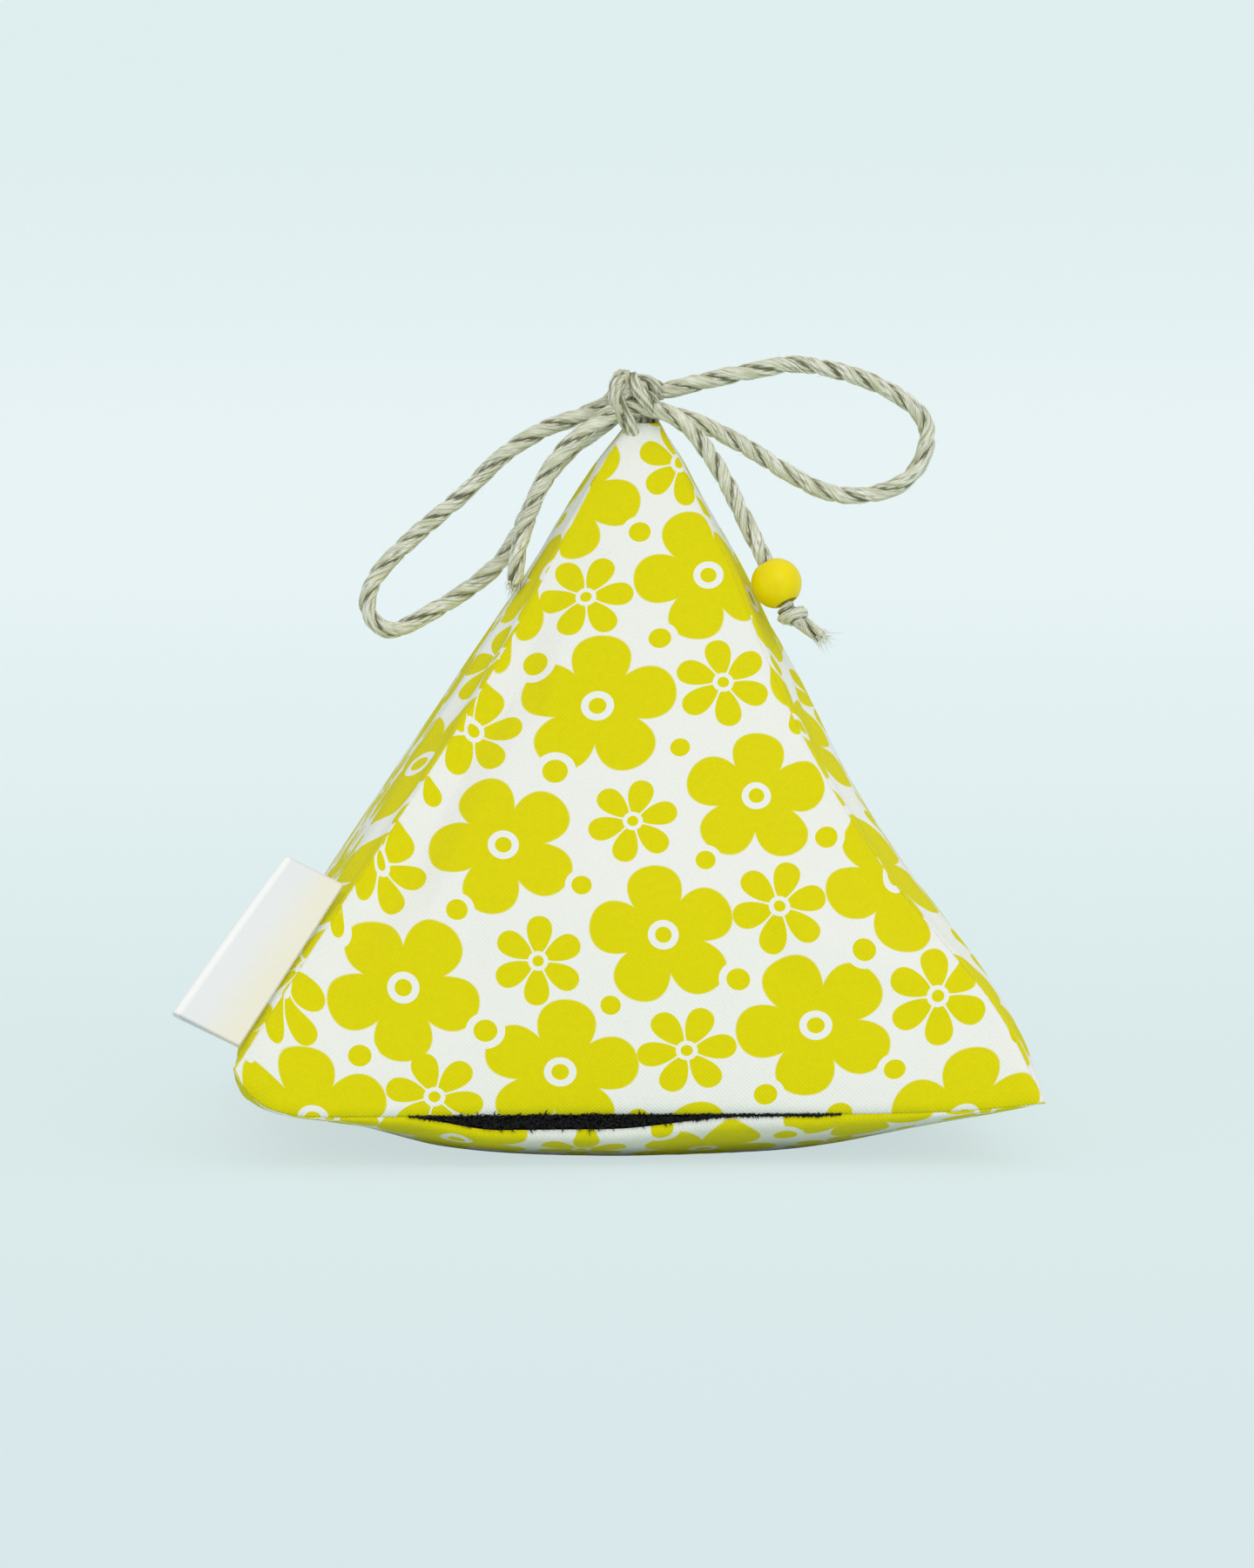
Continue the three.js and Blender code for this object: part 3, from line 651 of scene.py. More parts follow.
def hair(root, heading, bend, length, radius):
    """Points and faces of one loose fibre: a thin bent spike of three sides."""
    along = unit(heading)
    side = any_side(along)
    over = np.cross(along, side)
    corners = [math.cos(a) * side + math.sin(a) * over for a in (0, 2 * math.pi / 3, 4 * math.pi / 3)]
    middle = root + 0.55 * length * along + 0.3 * length * bend
    tip = root + length * along + length * bend
    points = [root + radius * c for c in corners] + [middle + 0.7 * radius * c for c in corners] + [tip]
    faces = [(0, 1, 4, 3), (1, 2, 5, 4), (2, 0, 3, 5), (3, 4, 6), (4, 5, 6), (5, 3, 6)]
    return points, faces


def mesh_piece(name, points, faces, material, ply_places=None):
    """A smooth-shaded mesh object in the scene, with its corners' places along a ply if these are given."""
    mesh = bpy.data.meshes.new(name)
    mesh.from_pydata([tuple(p) for p in points], [], [tuple(f) for f in faces])
    mesh.polygons.foreach_set("use_smooth", [True] * len(mesh.polygons))
    mesh.materials.append(material)
    if ply_places:
        layer = mesh.uv_layers.new(name="ply")
        layer.data.foreach_set("uv", np.array(ply_places, np.float32).ravel())
    piece = bpy.data.objects.new(name, mesh)
    bpy.context.collection.objects.link(piece)
    return piece


for strip_name, rise, fuzz_heights, seed in (
    ("loop_strip", LOOP_RISE, LOOP_FUZZ_HEIGHTS, 41),
    ("hook_strip", HOOK_RISE, HOOK_FUZZ_HEIGHTS, 42),
):
    strip, flat = add_grid(strip_name + "_tape", STRIP_CELLS)
    along_mouth = MOUTH_START + (MOUTH_END - MOUTH_START) * (flat[:, 0] + 1) / 2
    inwards = STRIP_FRONT + (STRIP_BACK - STRIP_FRONT) * (flat[:, 1] + 1) / 2
    top = rise + STRIP_THICKNESS
    set_points(strip, base_panel(along_mouth, inwards, creased=0, rise=top, setback=STRIP_SETBACK))
    thicken(strip, STRIP_THICKNESS)
    bpy.ops.object.shade_smooth_by_angle(angle=math.radians(50))
    strip.data.materials.append(black_nylon)
    chance = np.random.default_rng(seed)
    fuzz_points, fuzz_faces = [], []
    for _ in range(FUZZ_COUNT):
        across = chance.uniform(SLIT_START, MOUTH_END, 1)
        opening = mouth_drop(across)
        height = chance.uniform(*fuzz_heights) * opening
        root = base_panel(across, -np.ones(1), creased=1, rise=height, setback=-FUZZ_PROUD)[0]
        heading = np.array((chance.normal(0, FUZZ_ASIDE), -FUZZ_OUT, chance.normal(*FUZZ_UP)))
        openness = opening[0] / (MOUTH_GAPE + MOUTH_SLIT)
        longest = (FUZZ_CLOSED + (1 - FUZZ_CLOSED) * openness) * FUZZ_LENGTH
        length = chance.uniform(FUZZ_SHORTEST, 1) * longest
        strand, faces = hair(root, heading, FUZZ_BEND * chance.normal(size=3), length, FUZZ_RADIUS)
        fuzz_faces.extend(tuple(len(fuzz_points) + i for i in face) for face in faces)
        fuzz_points.extend(strand)
    fuzz = mesh_piece(strip_name + "_fuzz", fuzz_points, fuzz_faces, black_nylon)
    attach(fuzz, "bag")
    dress(strip, "bag", strip_name)

# Ribbon label
# A short piece of cream satin ribbon, folded in half, its two raw ends caught in the front left seam.
# It stands out from the seam in line with the front panel, with the fold as its outer edge.
LABEL_CELLS = 64
LABEL_LENGTH = 32 * MM
LABEL_REACH = 11.5 * MM
LABEL_TAPER = 0.12
LABEL_BOW = 0.5 * MM
RIBBON_THICKNESS = 0.35 * MM
FOLD_RADIUS = 0.55 * MM
PINCHED_SHARE = 0.45
LABEL_FOOT = np.array((-59.793, -58.242, 19.055)) * MM
OFF_SEAM = unit(np.array((-0.8706, 0.2780, 0.4059)))
ALONG_SEAM = unit(np.array((0.4919, 0.4919, 0.7183)))
OFF_FACE = np.cross(ALONG_SEAM, OFF_SEAM)
# The cream towards the seam is painted yellow light reflected from the print, and the white at the fold is a
# painted highlight.
RIBBON_WHITE = linear("#eceeee")
SEAM_BOUNCE_CREAM = linear("#f2edd8")
FOLD_HIGHLIGHT = linear("#fdfdfb")

# Satin ribbon, woven with long floats: smooth and softly shining across the ribs that its threads make,
# with a painted highlight along the pressed fold and painted yellow light from the print towards the seam.
# Its places are in millimetres.
# Ribs 0.25 mm apart are too fine to show from here, so they are drawn 0.8 mm apart.
RIB_SPACING = 0.8
SLUBS_PER_MM = 0.35
satin_ribbon, tree, shader = start_material(
    "satin_ribbon", Roughness=0.42, Sheen_Weight=0.3, Anisotropic=0.4
)
ribbon_place = node(tree, "UVMap", uv_map="ribbon")
ribbon_axes = node(tree, "SeparateXYZ", {0: ribbon_place}).outputs
rib_turns = node(tree, "Math", {0: ribbon_axes["X"], 1: 2 * math.pi / RIB_SPACING}, operation="MULTIPLY")
ribs = node(tree, "Math", {0: rib_turns}, operation="SINE")
slubs = node(tree, "TexNoise", {"Vector": ribbon_place, "Scale": SLUBS_PER_MM, "Detail": 3})
ribbon_height = node(tree, "Math", {0: slubs, 1: 2, 2: ribs}, operation="MULTIPLY_ADD")
ribbon_bump = node(tree, "Bump", {"Height": ribbon_height, "Strength": 0.2, "Distance": 0.08 * MM})
from_fold = node(tree, "Math", {0: ribbon_axes["Y"]}, operation="ABSOLUTE")
to_seam = node(
    tree, "MapRange", {"Value": from_fold, "From Min": 3, "From Max": 11}, interpolation_type="SMOOTHSTEP"
)
to_fold = node(tree, "MapRange", {"Value": from_fold, "From Min": 1.9, "From Max": 1.2})
# Painted light: cream bounce light from the print towards the seam, then a painted highlight along the fold.
bounce_tinted = node(tree, "Mix", {SHARE: to_seam, FROM: RIBBON_WHITE, TO: SEAM_BOUNCE_CREAM}, data_type="RGBA")
fold_highlighted = node(tree, "Mix", {SHARE: to_fold, FROM: bounce_tinted, TO: FOLD_HIGHLIGHT}, data_type="RGBA")
set_inputs(tree, shader, {"Base Color": fold_highlighted, "Normal": ribbon_bump})

label, flat = add_grid("ribbon_label_cloth", LABEL_CELLS)
lengthwise = (flat[:, 0] + 1) / 2 * LABEL_LENGTH
quarter_fold = FOLD_RADIUS * np.pi / 2
straight = LABEL_REACH - FOLD_RADIUS
run = flat[:, 1] * (straight + quarter_fold)
bend = np.clip((quarter_fold - np.abs(run)) / FOLD_RADIUS, 0, np.pi / 2)
on_flat = np.abs(run) > quarter_fold
reach = np.where(on_flat, straight + quarter_fold - np.abs(run), straight + FOLD_RADIUS * np.sin(bend))
side = np.where(on_flat, FOLD_RADIUS, FOLD_RADIUS * np.cos(bend)) * np.sign(run)
side = side * (PINCHED_SHARE + (1 - PINCHED_SHARE) * smoothstep(reach, 0, LABEL_REACH))
bow = LABEL_BOW * np.sin(np.pi * lengthwise / LABEL_LENGTH) * (reach / LABEL_REACH) ** 2
reach = reach * (1 - LABEL_TAPER * lengthwise / LABEL_LENGTH)
set_points(
    label,
    LABEL_FOOT
    + lengthwise[:, None] * ALONG_SEAM
    + reach[:, None] * OFF_SEAM
    + (side + bow)[:, None] * OFF_FACE,
)
set_places(label, "ribbon", np.column_stack([lengthwise, run]) / MM)
bpy.ops.object.shade_smooth()
thicken(label, RIBBON_THICKNESS, offset=0)
label.data.materials.append(satin_ribbon)
dress(label, "label", "ribbon_label")

# Sewing thread
# Two-ply polyester thread in lock stitches about 2.5 mm long, up the inside of each upright seam and
# round the base seam from one end of the mouth to the other.
THREAD_DIAMETER = 0.5 * MM
THREAD_SIDES = 8
STITCH_LENGTH = 2.5 * MM
STITCH_WAVE = 0.12 * MM
SEAM_INSET = 1.45 * MM
BASE_SEAM_INSET = 1.75 * MM
PANEL_RISE = 104 * MM
SEAM_SHARES = np.linspace(0.06, 0.94, 9)
BASE_SEAM_SHARE = 2.9 * MM / PANEL_RISE
BASE_SEAM_ENDS = 0.93
MOUTH_MARGIN = 0.05
THREAD_WHITE = linear("#f2efe6")
THREAD_SHADE = linear("#d2cdbf")

# Polyester thread, spun and twisted: off-white with a soft shine and slanting twist lines 0.4 mm apart.
TWIST_SPACING = 0.4
sewing_thread, tree, shader = start_material("polyester_thread", Roughness=0.55, Sheen_Weight=0.2)
thread_axes = node(tree, "SeparateXYZ", {0: node(tree, "UVMap", uv_map="ply")}).outputs
slant = node(tree, "Math", {0: thread_axes["X"], 1: thread_axes["Y"]}, operation="ADD")
twist_turns = node(tree, "Math", {0: slant, 1: 2 * math.pi / TWIST_SPACING}, operation="MULTIPLY")
twist = node(tree, "Math", {0: twist_turns}, operation="SINE")
twist_share = node(tree, "MapRange", {"Value": twist, "From Min": -1, "From Max": 1})
thread_tone = node(tree, "Mix", {SHARE: twist_share, FROM: THREAD_SHADE, TO: THREAD_WHITE}, data_type="RGBA")
twist_bump = node(tree, "Bump", {"Height": twist, "Strength": 0.5, "Distance": 0.06 * MM})
set_inputs(tree, shader, {"Base Color": thread_tone, "Normal": twist_bump})


def smooth_line(points, step):
    """Evenly spaced points on a smooth line through the given ones."""
    points = np.asarray(points, float)
    ends = np.vstack([2 * points[0] - points[1], points, 2 * points[-1] - points[-2]])
    t = np.linspace(0, 1, 24, endpoint=False)[:, None]
    runs = []
    for a, b, c, d in zip(ends, ends[1:], ends[2:], ends[3:]):
        bend = (2 * a - 5 * b + 4 * c - d) * t ** 2 + (3 * b - a - 3 * c + d) * t ** 3
        runs.append(b + 0.5 * ((c - a) * t + bend))
    fine = np.vstack([*runs, points[-1:]])
    walked = np.r_[0, np.cumsum(np.linalg.norm(np.diff(fine, axis=0), axis=1))]
    stops = np.linspace(0, walked[-1], max(3, round(walked[-1] / step)) + 1)
    return np.column_stack([np.interp(stops, walked, fine[:, k]) for k in range(3)])


def tube(walked, sides, girth, start=0, shift=0):
    """Faces of a closed tube of rings of points, and its corners' places round and along it."""
    faces, places = [], []
    for i in range(len(walked) - 1):
        near, far = start + i * sides, start + (i + 1) * sides
        low, high = walked[i] / MM + shift, walked[i + 1] / MM + shift
        for j in range(sides):
            k = (j + 1) % sides
            faces.append((near + j, near + k, far + k, far + j))
            left, right = girth / MM * j / sides, girth / MM * (j + 1) / sides
            places.extend([(left, low), (right, low), (right, high), (left, high)])
    last = start + (len(walked) - 1) * sides
    faces.append(tuple(range(start, start + sides))[::-1])
    faces.append(tuple(range(last, last + sides)))
    places.extend([(0, shift)] * 2 * sides)
    return faces, places


def lay_thread(name, cad_node, route, diameter, wave):
    line = smooth_line(route, STITCH_LENGTH / 6)
    along = unit(np.gradient(line, axis=0))
    side = unit(np.cross(along, (0.0, 0.0, 1.0)))
    over = np.cross(side, along)
    walked = np.arange(len(line)) * np.linalg.norm(line[1] - line[0])
    line = line + wave * np.sin(2 * np.pi * walked / STITCH_LENGTH)[:, None] * over
    angles = np.linspace(0, 2 * np.pi, THREAD_SIDES, endpoint=False)[None, :, None]
    ring = np.cos(angles) * side[:, None, :] - np.sin(angles) * over[:, None, :]
    points = (line[:, None, :] + diameter / 2 * ring).reshape(-1, 3)
    faces, places = tube(walked, THREAD_SIDES, math.pi * diameter)
    thread = mesh_piece(name, points, faces, sewing_thread, places)
    dress(thread, "bag", cad_node)


def inner_face(turn, u, v, inset):
    """Points of a surface that lies inset behind an upright panel."""
    u, v = np.broadcast_arrays(np.asarray(u, float), np.asarray(v, float))
    half = half_width(v) - inset
    x, y = turned(u * half, -(half + (1 - u * u) * face_bulge(v)), turn)
    return np.column_stack([x + tip_shift(x, v), y, panel_height(turn, u, v)])


# Each upright seam is the left edge of one panel, seen from outside.
LEFT_EDGES = {"front": "front_left", "right": "front_right", "back": "back_right", "left": "back_left"}
for name, turn in SIDES.items():
    seam = LEFT_EDGES[name] + "_seam_"
    seam_route = inner_face(turn, -1, SEAM_SHARES, SEAM_INSET)
    lay_thread(seam + "stitching", seam + "thread", seam_route, THREAD_DIAMETER, STITCH_WAVE)
whole_side = BASE_SEAM_ENDS * np.sin(np.linspace(-np.pi / 2, np.pi / 2, 13))
from_mouth = np.r_[MOUTH_END, whole_side[whole_side > MOUTH_END + MOUTH_MARGIN]]
to_mouth = np.r_[whole_side[whole_side < MOUTH_START - MOUTH_MARGIN], MOUTH_START]
base_runs = [
    (SIDES["front"], from_mouth), (SIDES["right"], whole_side), (SIDES["back"], whole_side),
    (SIDES["left"], whole_side), (SIDES["front"], to_mouth),
]
base_route = np.vstack([inner_face(turn, run, BASE_SEAM_SHARE, BASE_SEAM_INSET) for turn, run in base_runs])
lay_thread("base_seam_stitching", "base_seam_thread", base_route, THREAD_DIAMETER, STITCH_WAVE)

# Inner pouch and its filling
# A bag of unbleached muslin that fills the sachet, gathered at its neck and tied with thread. It holds
# loose dried lavender buds, and it can be taken out through the mouth to be refilled.
POUCH_INSET = 2.0 * MM
POUCH_WALL = 0.5 * MM
POUCH_FLOOR_SHARE = 4.2 * MM / PANEL_RISE
POUCH_SHOULDER_SHARE = 0.73
FLOOR_SINK = 1.2 * MM
FLOOR_SHARES = np.linspace(0.06, 0.99, 16)
STRIP_CLEARANCE = 2.9 * MM
STRIP_SHARE = 0.62
RIM_SHARE = 0.8
NECK_RADIUS = 4.4 * MM
NECK_HEIGHT = 91 * MM
NECK_FOLDS = 17
GATHER_START = 0.35
FOLD_DEPTH = 0.9 * MM
FRILL_RADIUS = 5.8 * MM
FRILL_HEIGHT = 95.3 * MM
TIE_DIAMETER = 1 * MM
TIE_TURNS = 1.9
FILLING_INSET = 3.4 * MM
FILLING_MIDDLE = np.array((0, 0, 40 * MM))
FILLING_TOP = 80.5 * MM
BUD_RELIEF = 0.45 * MM
MUSLIN_PALE = linear("#efe8d8")
MUSLIN_SHADE = linear("#ddd3bd")
BUD_PURPLE = linear("#6f6690")
BUD_GREY = linear("#9a94a8")
BUD_GREEN = linear("#7d7f68")

# Muslin, an open plain weave of unbleached cotton: matt cream with slubs and a visible grid of threads
# 0.6 mm apart.
MUSLIN_SPACING = 0.6 * MM
MUSLIN_SLUBS_PER_METRE = 260
muslin, tree, shader = start_material("unbleached_muslin", Roughness=0.95)
place = node(tree, "TexCoord").outputs["Object"]
muslin_turns = node(
    tree, "VectorMath", {0: place, "Scale": 2 * math.pi / MUSLIN_SPACING}, operation="SCALE"
)
muslin_waves = node(tree, "VectorMath", {0: muslin_turns}, operation="SINE")
muslin_axes = node(tree, "SeparateXYZ", {0: muslin_waves}).outputs
crossed = node(tree, "Math", {0: muslin_axes["X"], 1: muslin_axes["Y"]}, operation="ADD")
muslin_weave = node(tree, "Math", {0: crossed, 1: muslin_axes["Z"]}, operation="MULTIPLY")
muslin_slubs = node(tree, "TexNoise", {"Vector": place, "Scale": MUSLIN_SLUBS_PER_METRE, "Detail": 4})
muslin_tone = node(tree, "Mix", {SHARE: muslin_slubs, FROM: MUSLIN_PALE, TO: MUSLIN_SHADE}, data_type="RGBA")
muslin_bump = node(tree, "Bump", {"Height": muslin_weave, "Strength": 0.4, "Distance": 0.12 * MM})
set_inputs(tree, shader, {"Base Color": muslin_tone, "Normal": muslin_bump})

# Dried lavender buds, heaped about 3 mm apart: dusty purple, some of them gone grey or green.
BUDS_PER_METRE = 330
lavender_buds, tree, shader = start_material("dried_lavender_buds", Roughness=1)
place = node(tree, "TexCoord").outputs["Object"]
buds = node(tree, "TexVoronoi", {"Vector": place, "Scale": BUDS_PER_METRE})
bud_luck = node(tree, "SeparateXYZ", {0: buds.outputs["Color"]}).outputs
dusty = node(tree, "Mix", {SHARE: bud_luck["X"], FROM: BUD_PURPLE, TO: BUD_GREY}, data_type="RGBA")
green_share = node(tree, "MapRange", {"Value": bud_luck["Y"], "From Min": 0.7, "From Max": 1})
bud_tone = node(tree, "Mix", {SHARE: green_share, FROM: dusty, TO: BUD_GREEN}, data_type="RGBA")
bud_bump = node(
    tree, "Bump", {"Height": buds.outputs["Distance"], "Strength": 0.8, "Distance": 1.0 * MM}, invert=True
)
set_inputs(tree, shader, {"Base Color": bud_tone, "Normal": bud_bump})


def bag_ring(v, inset):
    """A ring of points round the inside of the four upright panels."""
    return np.vstack([inner_face(turn, np.linspace(-0.9, 0.9, 24), v, inset) for turn in SIDES.values()])


def floor_ring(share, inset):
    """A ring on the floor of the bag that clears the strips where it nears the upright panels."""
    edge = bag_ring(POUCH_FLOOR_SHARE, inset)
    x, y = edge[:, 0] * share, edge[:, 1] * share
    on_base = base_panel(x / BASE_HALF, y / BASE_HALF, creased=0)[:, 2] + CLOTH + inset - FLOOR_SINK
    over_strips = on_base + STRIP_CLEARANCE * smoothstep(share, STRIP_SHARE, RIM_SHARE)
    rim = smoothstep(share, RIM_SHARE, 1)
    return np.column_stack([x, y, over_strips * (1 - rim) + edge[:, 2] * rim])


def skin(name, rings, material, closed_top):
    """A smooth skin over rings of points, from a closed floor up to an open or a closed top."""
    size = len(rings[0])
    points = [rings[0].mean(0)] + [p for ring in rings for p in ring]
    faces = [(0, 1 + (i + 1) % size, 1 + i) for i in range(size)]
    for row in range(len(rings) - 1):
        low, high = 1 + row * size, 1 + (row + 1) * size
        faces += [(low + i, low + (i + 1) % size, high + (i + 1) % size, high + i) for i in range(size)]
    if closed_top:
        last = 1 + (len(rings) - 1) * size
        points.append(rings[-1].mean(0))
        faces += [(last + i, last + (i + 1) % size, len(points) - 1) for i in range(size)]
    return mesh_piece(name, points, faces, material)


neck_middle = np.array((TIP_LEAN * smoothstep(POUCH_SHOULDER_SHARE, LEAN_START, 1), 0, 0))
ring_angles = np.arctan2(*(bag_ring(POUCH_SHOULDER_SHARE, POUCH_INSET) - neck_middle)[:, 1::-1].T)
neck_folds = 0.5 + 0.5 * np.cos(NECK_FOLDS * ring_angles)


def neck_ring(radius, height, depth):
    """A round ring of the pouch's neck, gathered into folds."""
    reach = radius - depth * neck_folds
    return neck_middle + np.column_stack([
        reach * np.cos(ring_angles), reach * np.sin(ring_angles), np.full_like(reach, height),
    ])


pouch_rings = [floor_ring(share, POUCH_INSET) for share in FLOOR_SHARES]
for v in np.linspace(POUCH_FLOOR_SHARE, POUCH_SHOULDER_SHARE, 30):
    ring = bag_ring(v, POUCH_INSET)
    slack = 0.5 * FOLD_DEPTH * neck_folds * smoothstep(v, GATHER_START, POUCH_SHOULDER_SHARE)
    pouch_rings.append(ring - slack[:, None] * unit((ring - neck_middle) * (1, 1, 0)))
shoulder_ring = pouch_rings[-1]
neck_foot = neck_ring(NECK_RADIUS, NECK_HEIGHT, 0.5 * FOLD_DEPTH)
for share in np.linspace(0.2, 1, 6):
    pouch_rings.append(shoulder_ring + (neck_foot - shoulder_ring) * share)
neck_top = NECK_HEIGHT + 2 * TIE_DIAMETER
pouch_rings.append(neck_ring(NECK_RADIUS, neck_top, 0.5 * FOLD_DEPTH))
for share in (0.5, 1):
    flared = NECK_RADIUS + share * (FRILL_RADIUS - NECK_RADIUS)
    pouch_rings.append(neck_ring(flared, neck_top + share * (FRILL_HEIGHT - neck_top), FOLD_DEPTH))
pouch = skin("muslin_pouch", pouch_rings, muslin, closed_top=False)
take_up([pouch])
thicken(pouch, POUCH_WALL)
dress(pouch, "bag", "inner_pouch")

tie_angles = np.linspace(0, 2 * math.pi * TIE_TURNS, 40)
tie_route = neck_middle + np.column_stack([
    (NECK_RADIUS + 0.5 * TIE_DIAMETER) * np.cos(tie_angles),
    (NECK_RADIUS + 0.5 * TIE_DIAMETER) * np.sin(tie_angles),
    NECK_HEIGHT + TIE_DIAMETER * np.linspace(0.5, 1.5, 40),
])
lay_thread("pouch_neck_tie", "pouch_tie", tie_route, TIE_DIAMETER, wave=0)

filling_rings = [floor_ring(share, FILLING_INSET) for share in FLOOR_SHARES]
for v in np.linspace(POUCH_FLOOR_SHARE + 0.03, POUCH_SHOULDER_SHARE - 0.05, 34):
    filling_rings.append(bag_ring(v, FILLING_INSET))
heap_edge = filling_rings[-1]
heap_middle = np.array((neck_middle[0], 0, FILLING_TOP))
for share in (0.25, 0.5, 0.75, 0.95):
    filling_rings.append(heap_edge + (heap_middle - heap_edge) * share)
chance = np.random.default_rng(50)
for row, ring in enumerate(filling_rings):
    sunk = BUD_RELIEF * chance.uniform(0, 1, len(ring))[:, None]
    filling_rings[row] = ring - sunk * unit(ring - FILLING_MIDDLE)
filling = skin("lavender_buds", filling_rings, lavender_buds, closed_top=True)
dress(filling, "bag", "lavender_filling")

# Twine of the bow
# One length of natural twine, two plies of stiff plant fibre twisted to the right. Its two legs stand
# in the tip, and above them it is tied in a bow: a knot, two loops and two tails.
TWINE_DIAMETER = 2.75 * MM
TWINE_STEP = 0.45 * MM
PLY_PITCH = 12 * MM
PLY_OFFSET = 0.21 * TWINE_DIAMETER
PLY_DEPTH = 0.27 * TWINE_DIAMETER
PLY_WIDTH = 0.4 * TWINE_DIAMETER
PLY_SIDES = 36
PLY_YARNS = 6
YARN_RELIEF = 0.09
YARN_PITCH = 11 * MM
VALLEY_SHADE = 0.15
SLOW_TWIST = 0.5
SLOW_TWIST_LENGTH = 7.3 * MM
QUICK_TWIST = 0.3
QUICK_TWIST_LENGTH = 3.1 * MM
UNEVEN_SPIN = 0.04
SLOW_SPIN_LENGTH = 1.9 * MM
QUICK_SPIN_LENGTH = 0.83 * MM
PLIES_APART_MM = 300
HAIRS_PER_MM = 1.3
HAIR_RADIUS = 0.035 * MM
HAIR_LENGTHS_MM = (0.5, 1.3)
HAIR_ROOT = 0.42 * TWINE_DIAMETER
HAIR_LIFT = 0.55
HAIR_STRAY = 0.35
HAIR_BEND = 0.25
HAIR_PLACE_MM = (0.3, 5)
FRAY_LENGTH = 4 * MM
FRAY_OPENING = 0.35
FRAY_THINNING = 0.3
FRAY_HAIRS = 46
FRAY_HAIR_RADIUS = 2.2 * HAIR_RADIUS
FRAY_HAIR_LENGTHS_MM = (1.2, 3.0)
FRAY_HAIR_ROOT = 0.6 * MM
FRAY_HAIR_SPREAD = 0.55
FRAY_HAIR_LEAN = 0.45
FRAY_HAIR_STRAY = 0.15
TWINE_GROOVE_SHADE = linear("#858563")
TWINE_SHADE = linear("#a6a682")
TWINE_MIDDLE = linear("#d3d4b3")
TWINE_PALE = linear("#fbfbee")

# Twine of plant fibre, spun and twisted: matt, with pale and dark fibres that run along each ply, and
# painted shade in the grooves between the plies and yarns. Its places are in millimetres round and along a
# ply.
FIBRES_PER_MM = (2.6, 0.16, 1)
BLOTCHES_PER_MM = 0.22
natural_twine, tree, shader = start_material("natural_twine", Roughness=0.92, Sheen_Weight=0.15)
along_ply = node(tree, "UVMap", uv_map="ply")
stretched = node(tree, "VectorMath", {0: along_ply, 1: FIBRES_PER_MM}, operation="MULTIPLY")
fibres = node(tree, "TexNoise", {"Vector": stretched, "Scale": 1, "Detail": 3, "Roughness": 0.65})
fibre_share = node(tree, "MapRange", {"Value": fibres, "From Min": 0.36, "From Max": 0.52})
blotches = node(tree, "TexNoise", {"Vector": along_ply, "Scale": BLOTCHES_PER_MM, "Detail": 2})
blotch_share = node(tree, "MapRange", {"Value": blotches, "From Min": 0.35, "From Max": 0.7})
pale = node(tree, "Mix", {SHARE: blotch_share, FROM: TWINE_PALE, TO: TWINE_MIDDLE}, data_type="RGBA")
streaked = node(tree, "Mix", {SHARE: fibre_share, FROM: TWINE_SHADE, TO: pale}, data_type="RGBA")
crest = node(tree, "Attribute", attribute_name="crest").outputs["Fac"]
# Painted shade: where the crest share is low, in the grooves between plies and yarns, the twine is darkened
# towards its groove shade, less where the blotches are high.
groove_shade_and_blotches = node(tree, "Math", {0: blotches, 1: 1.2, 2: crest}, operation="MULTIPLY_ADD")
out_of_groove = node(tree, "MapRange", {"Value": groove_shade_and_blotches, "From Min": 1.02, "From Max": 1.32})
grooved = node(tree, "Mix", {SHARE: out_of_groove, FROM: TWINE_GROOVE_SHADE, TO: streaked}, data_type="RGBA")
fibre_bump = node(tree, "Bump", {"Height": fibres, "Strength": 0.8, "Distance": 0.22 * MM})
set_inputs(tree, shader, {"Base Color": grooved, "Normal": fibre_bump})


def loose_fibre(chance, middle, along, side, over, size, at_end):
    """Points and faces of one loose fibre of the twine, off its side or out of its frayed end."""
    spin = chance.uniform(0, 2 * np.pi)
    out = math.cos(spin) * side + math.sin(spin) * over
    if at_end:
        aside = chance.uniform(0, FRAY_HAIR_SPREAD) * size * TWINE_DIAMETER
        root = middle + aside * out - FRAY_HAIR_ROOT * along
        lean = FRAY_HAIR_LEAN * chance.uniform(0, 1)
        heading = along + lean * out + FRAY_HAIR_STRAY * chance.normal(size=3)
        length = chance.uniform(*FRAY_HAIR_LENGTHS_MM) * MM
        radius = FRAY_HAIR_RADIUS
    else:
        root = middle + HAIR_ROOT * size * out
        heading = HAIR_LIFT * out + chance.choice((-1, 1)) * along + HAIR_STRAY * chance.normal(size=3)
        length = chance.uniform(*HAIR_LENGTHS_MM) * MM
        radius = HAIR_RADIUS
    return hair(root, heading, HAIR_BEND * chance.normal(size=3), length, radius)


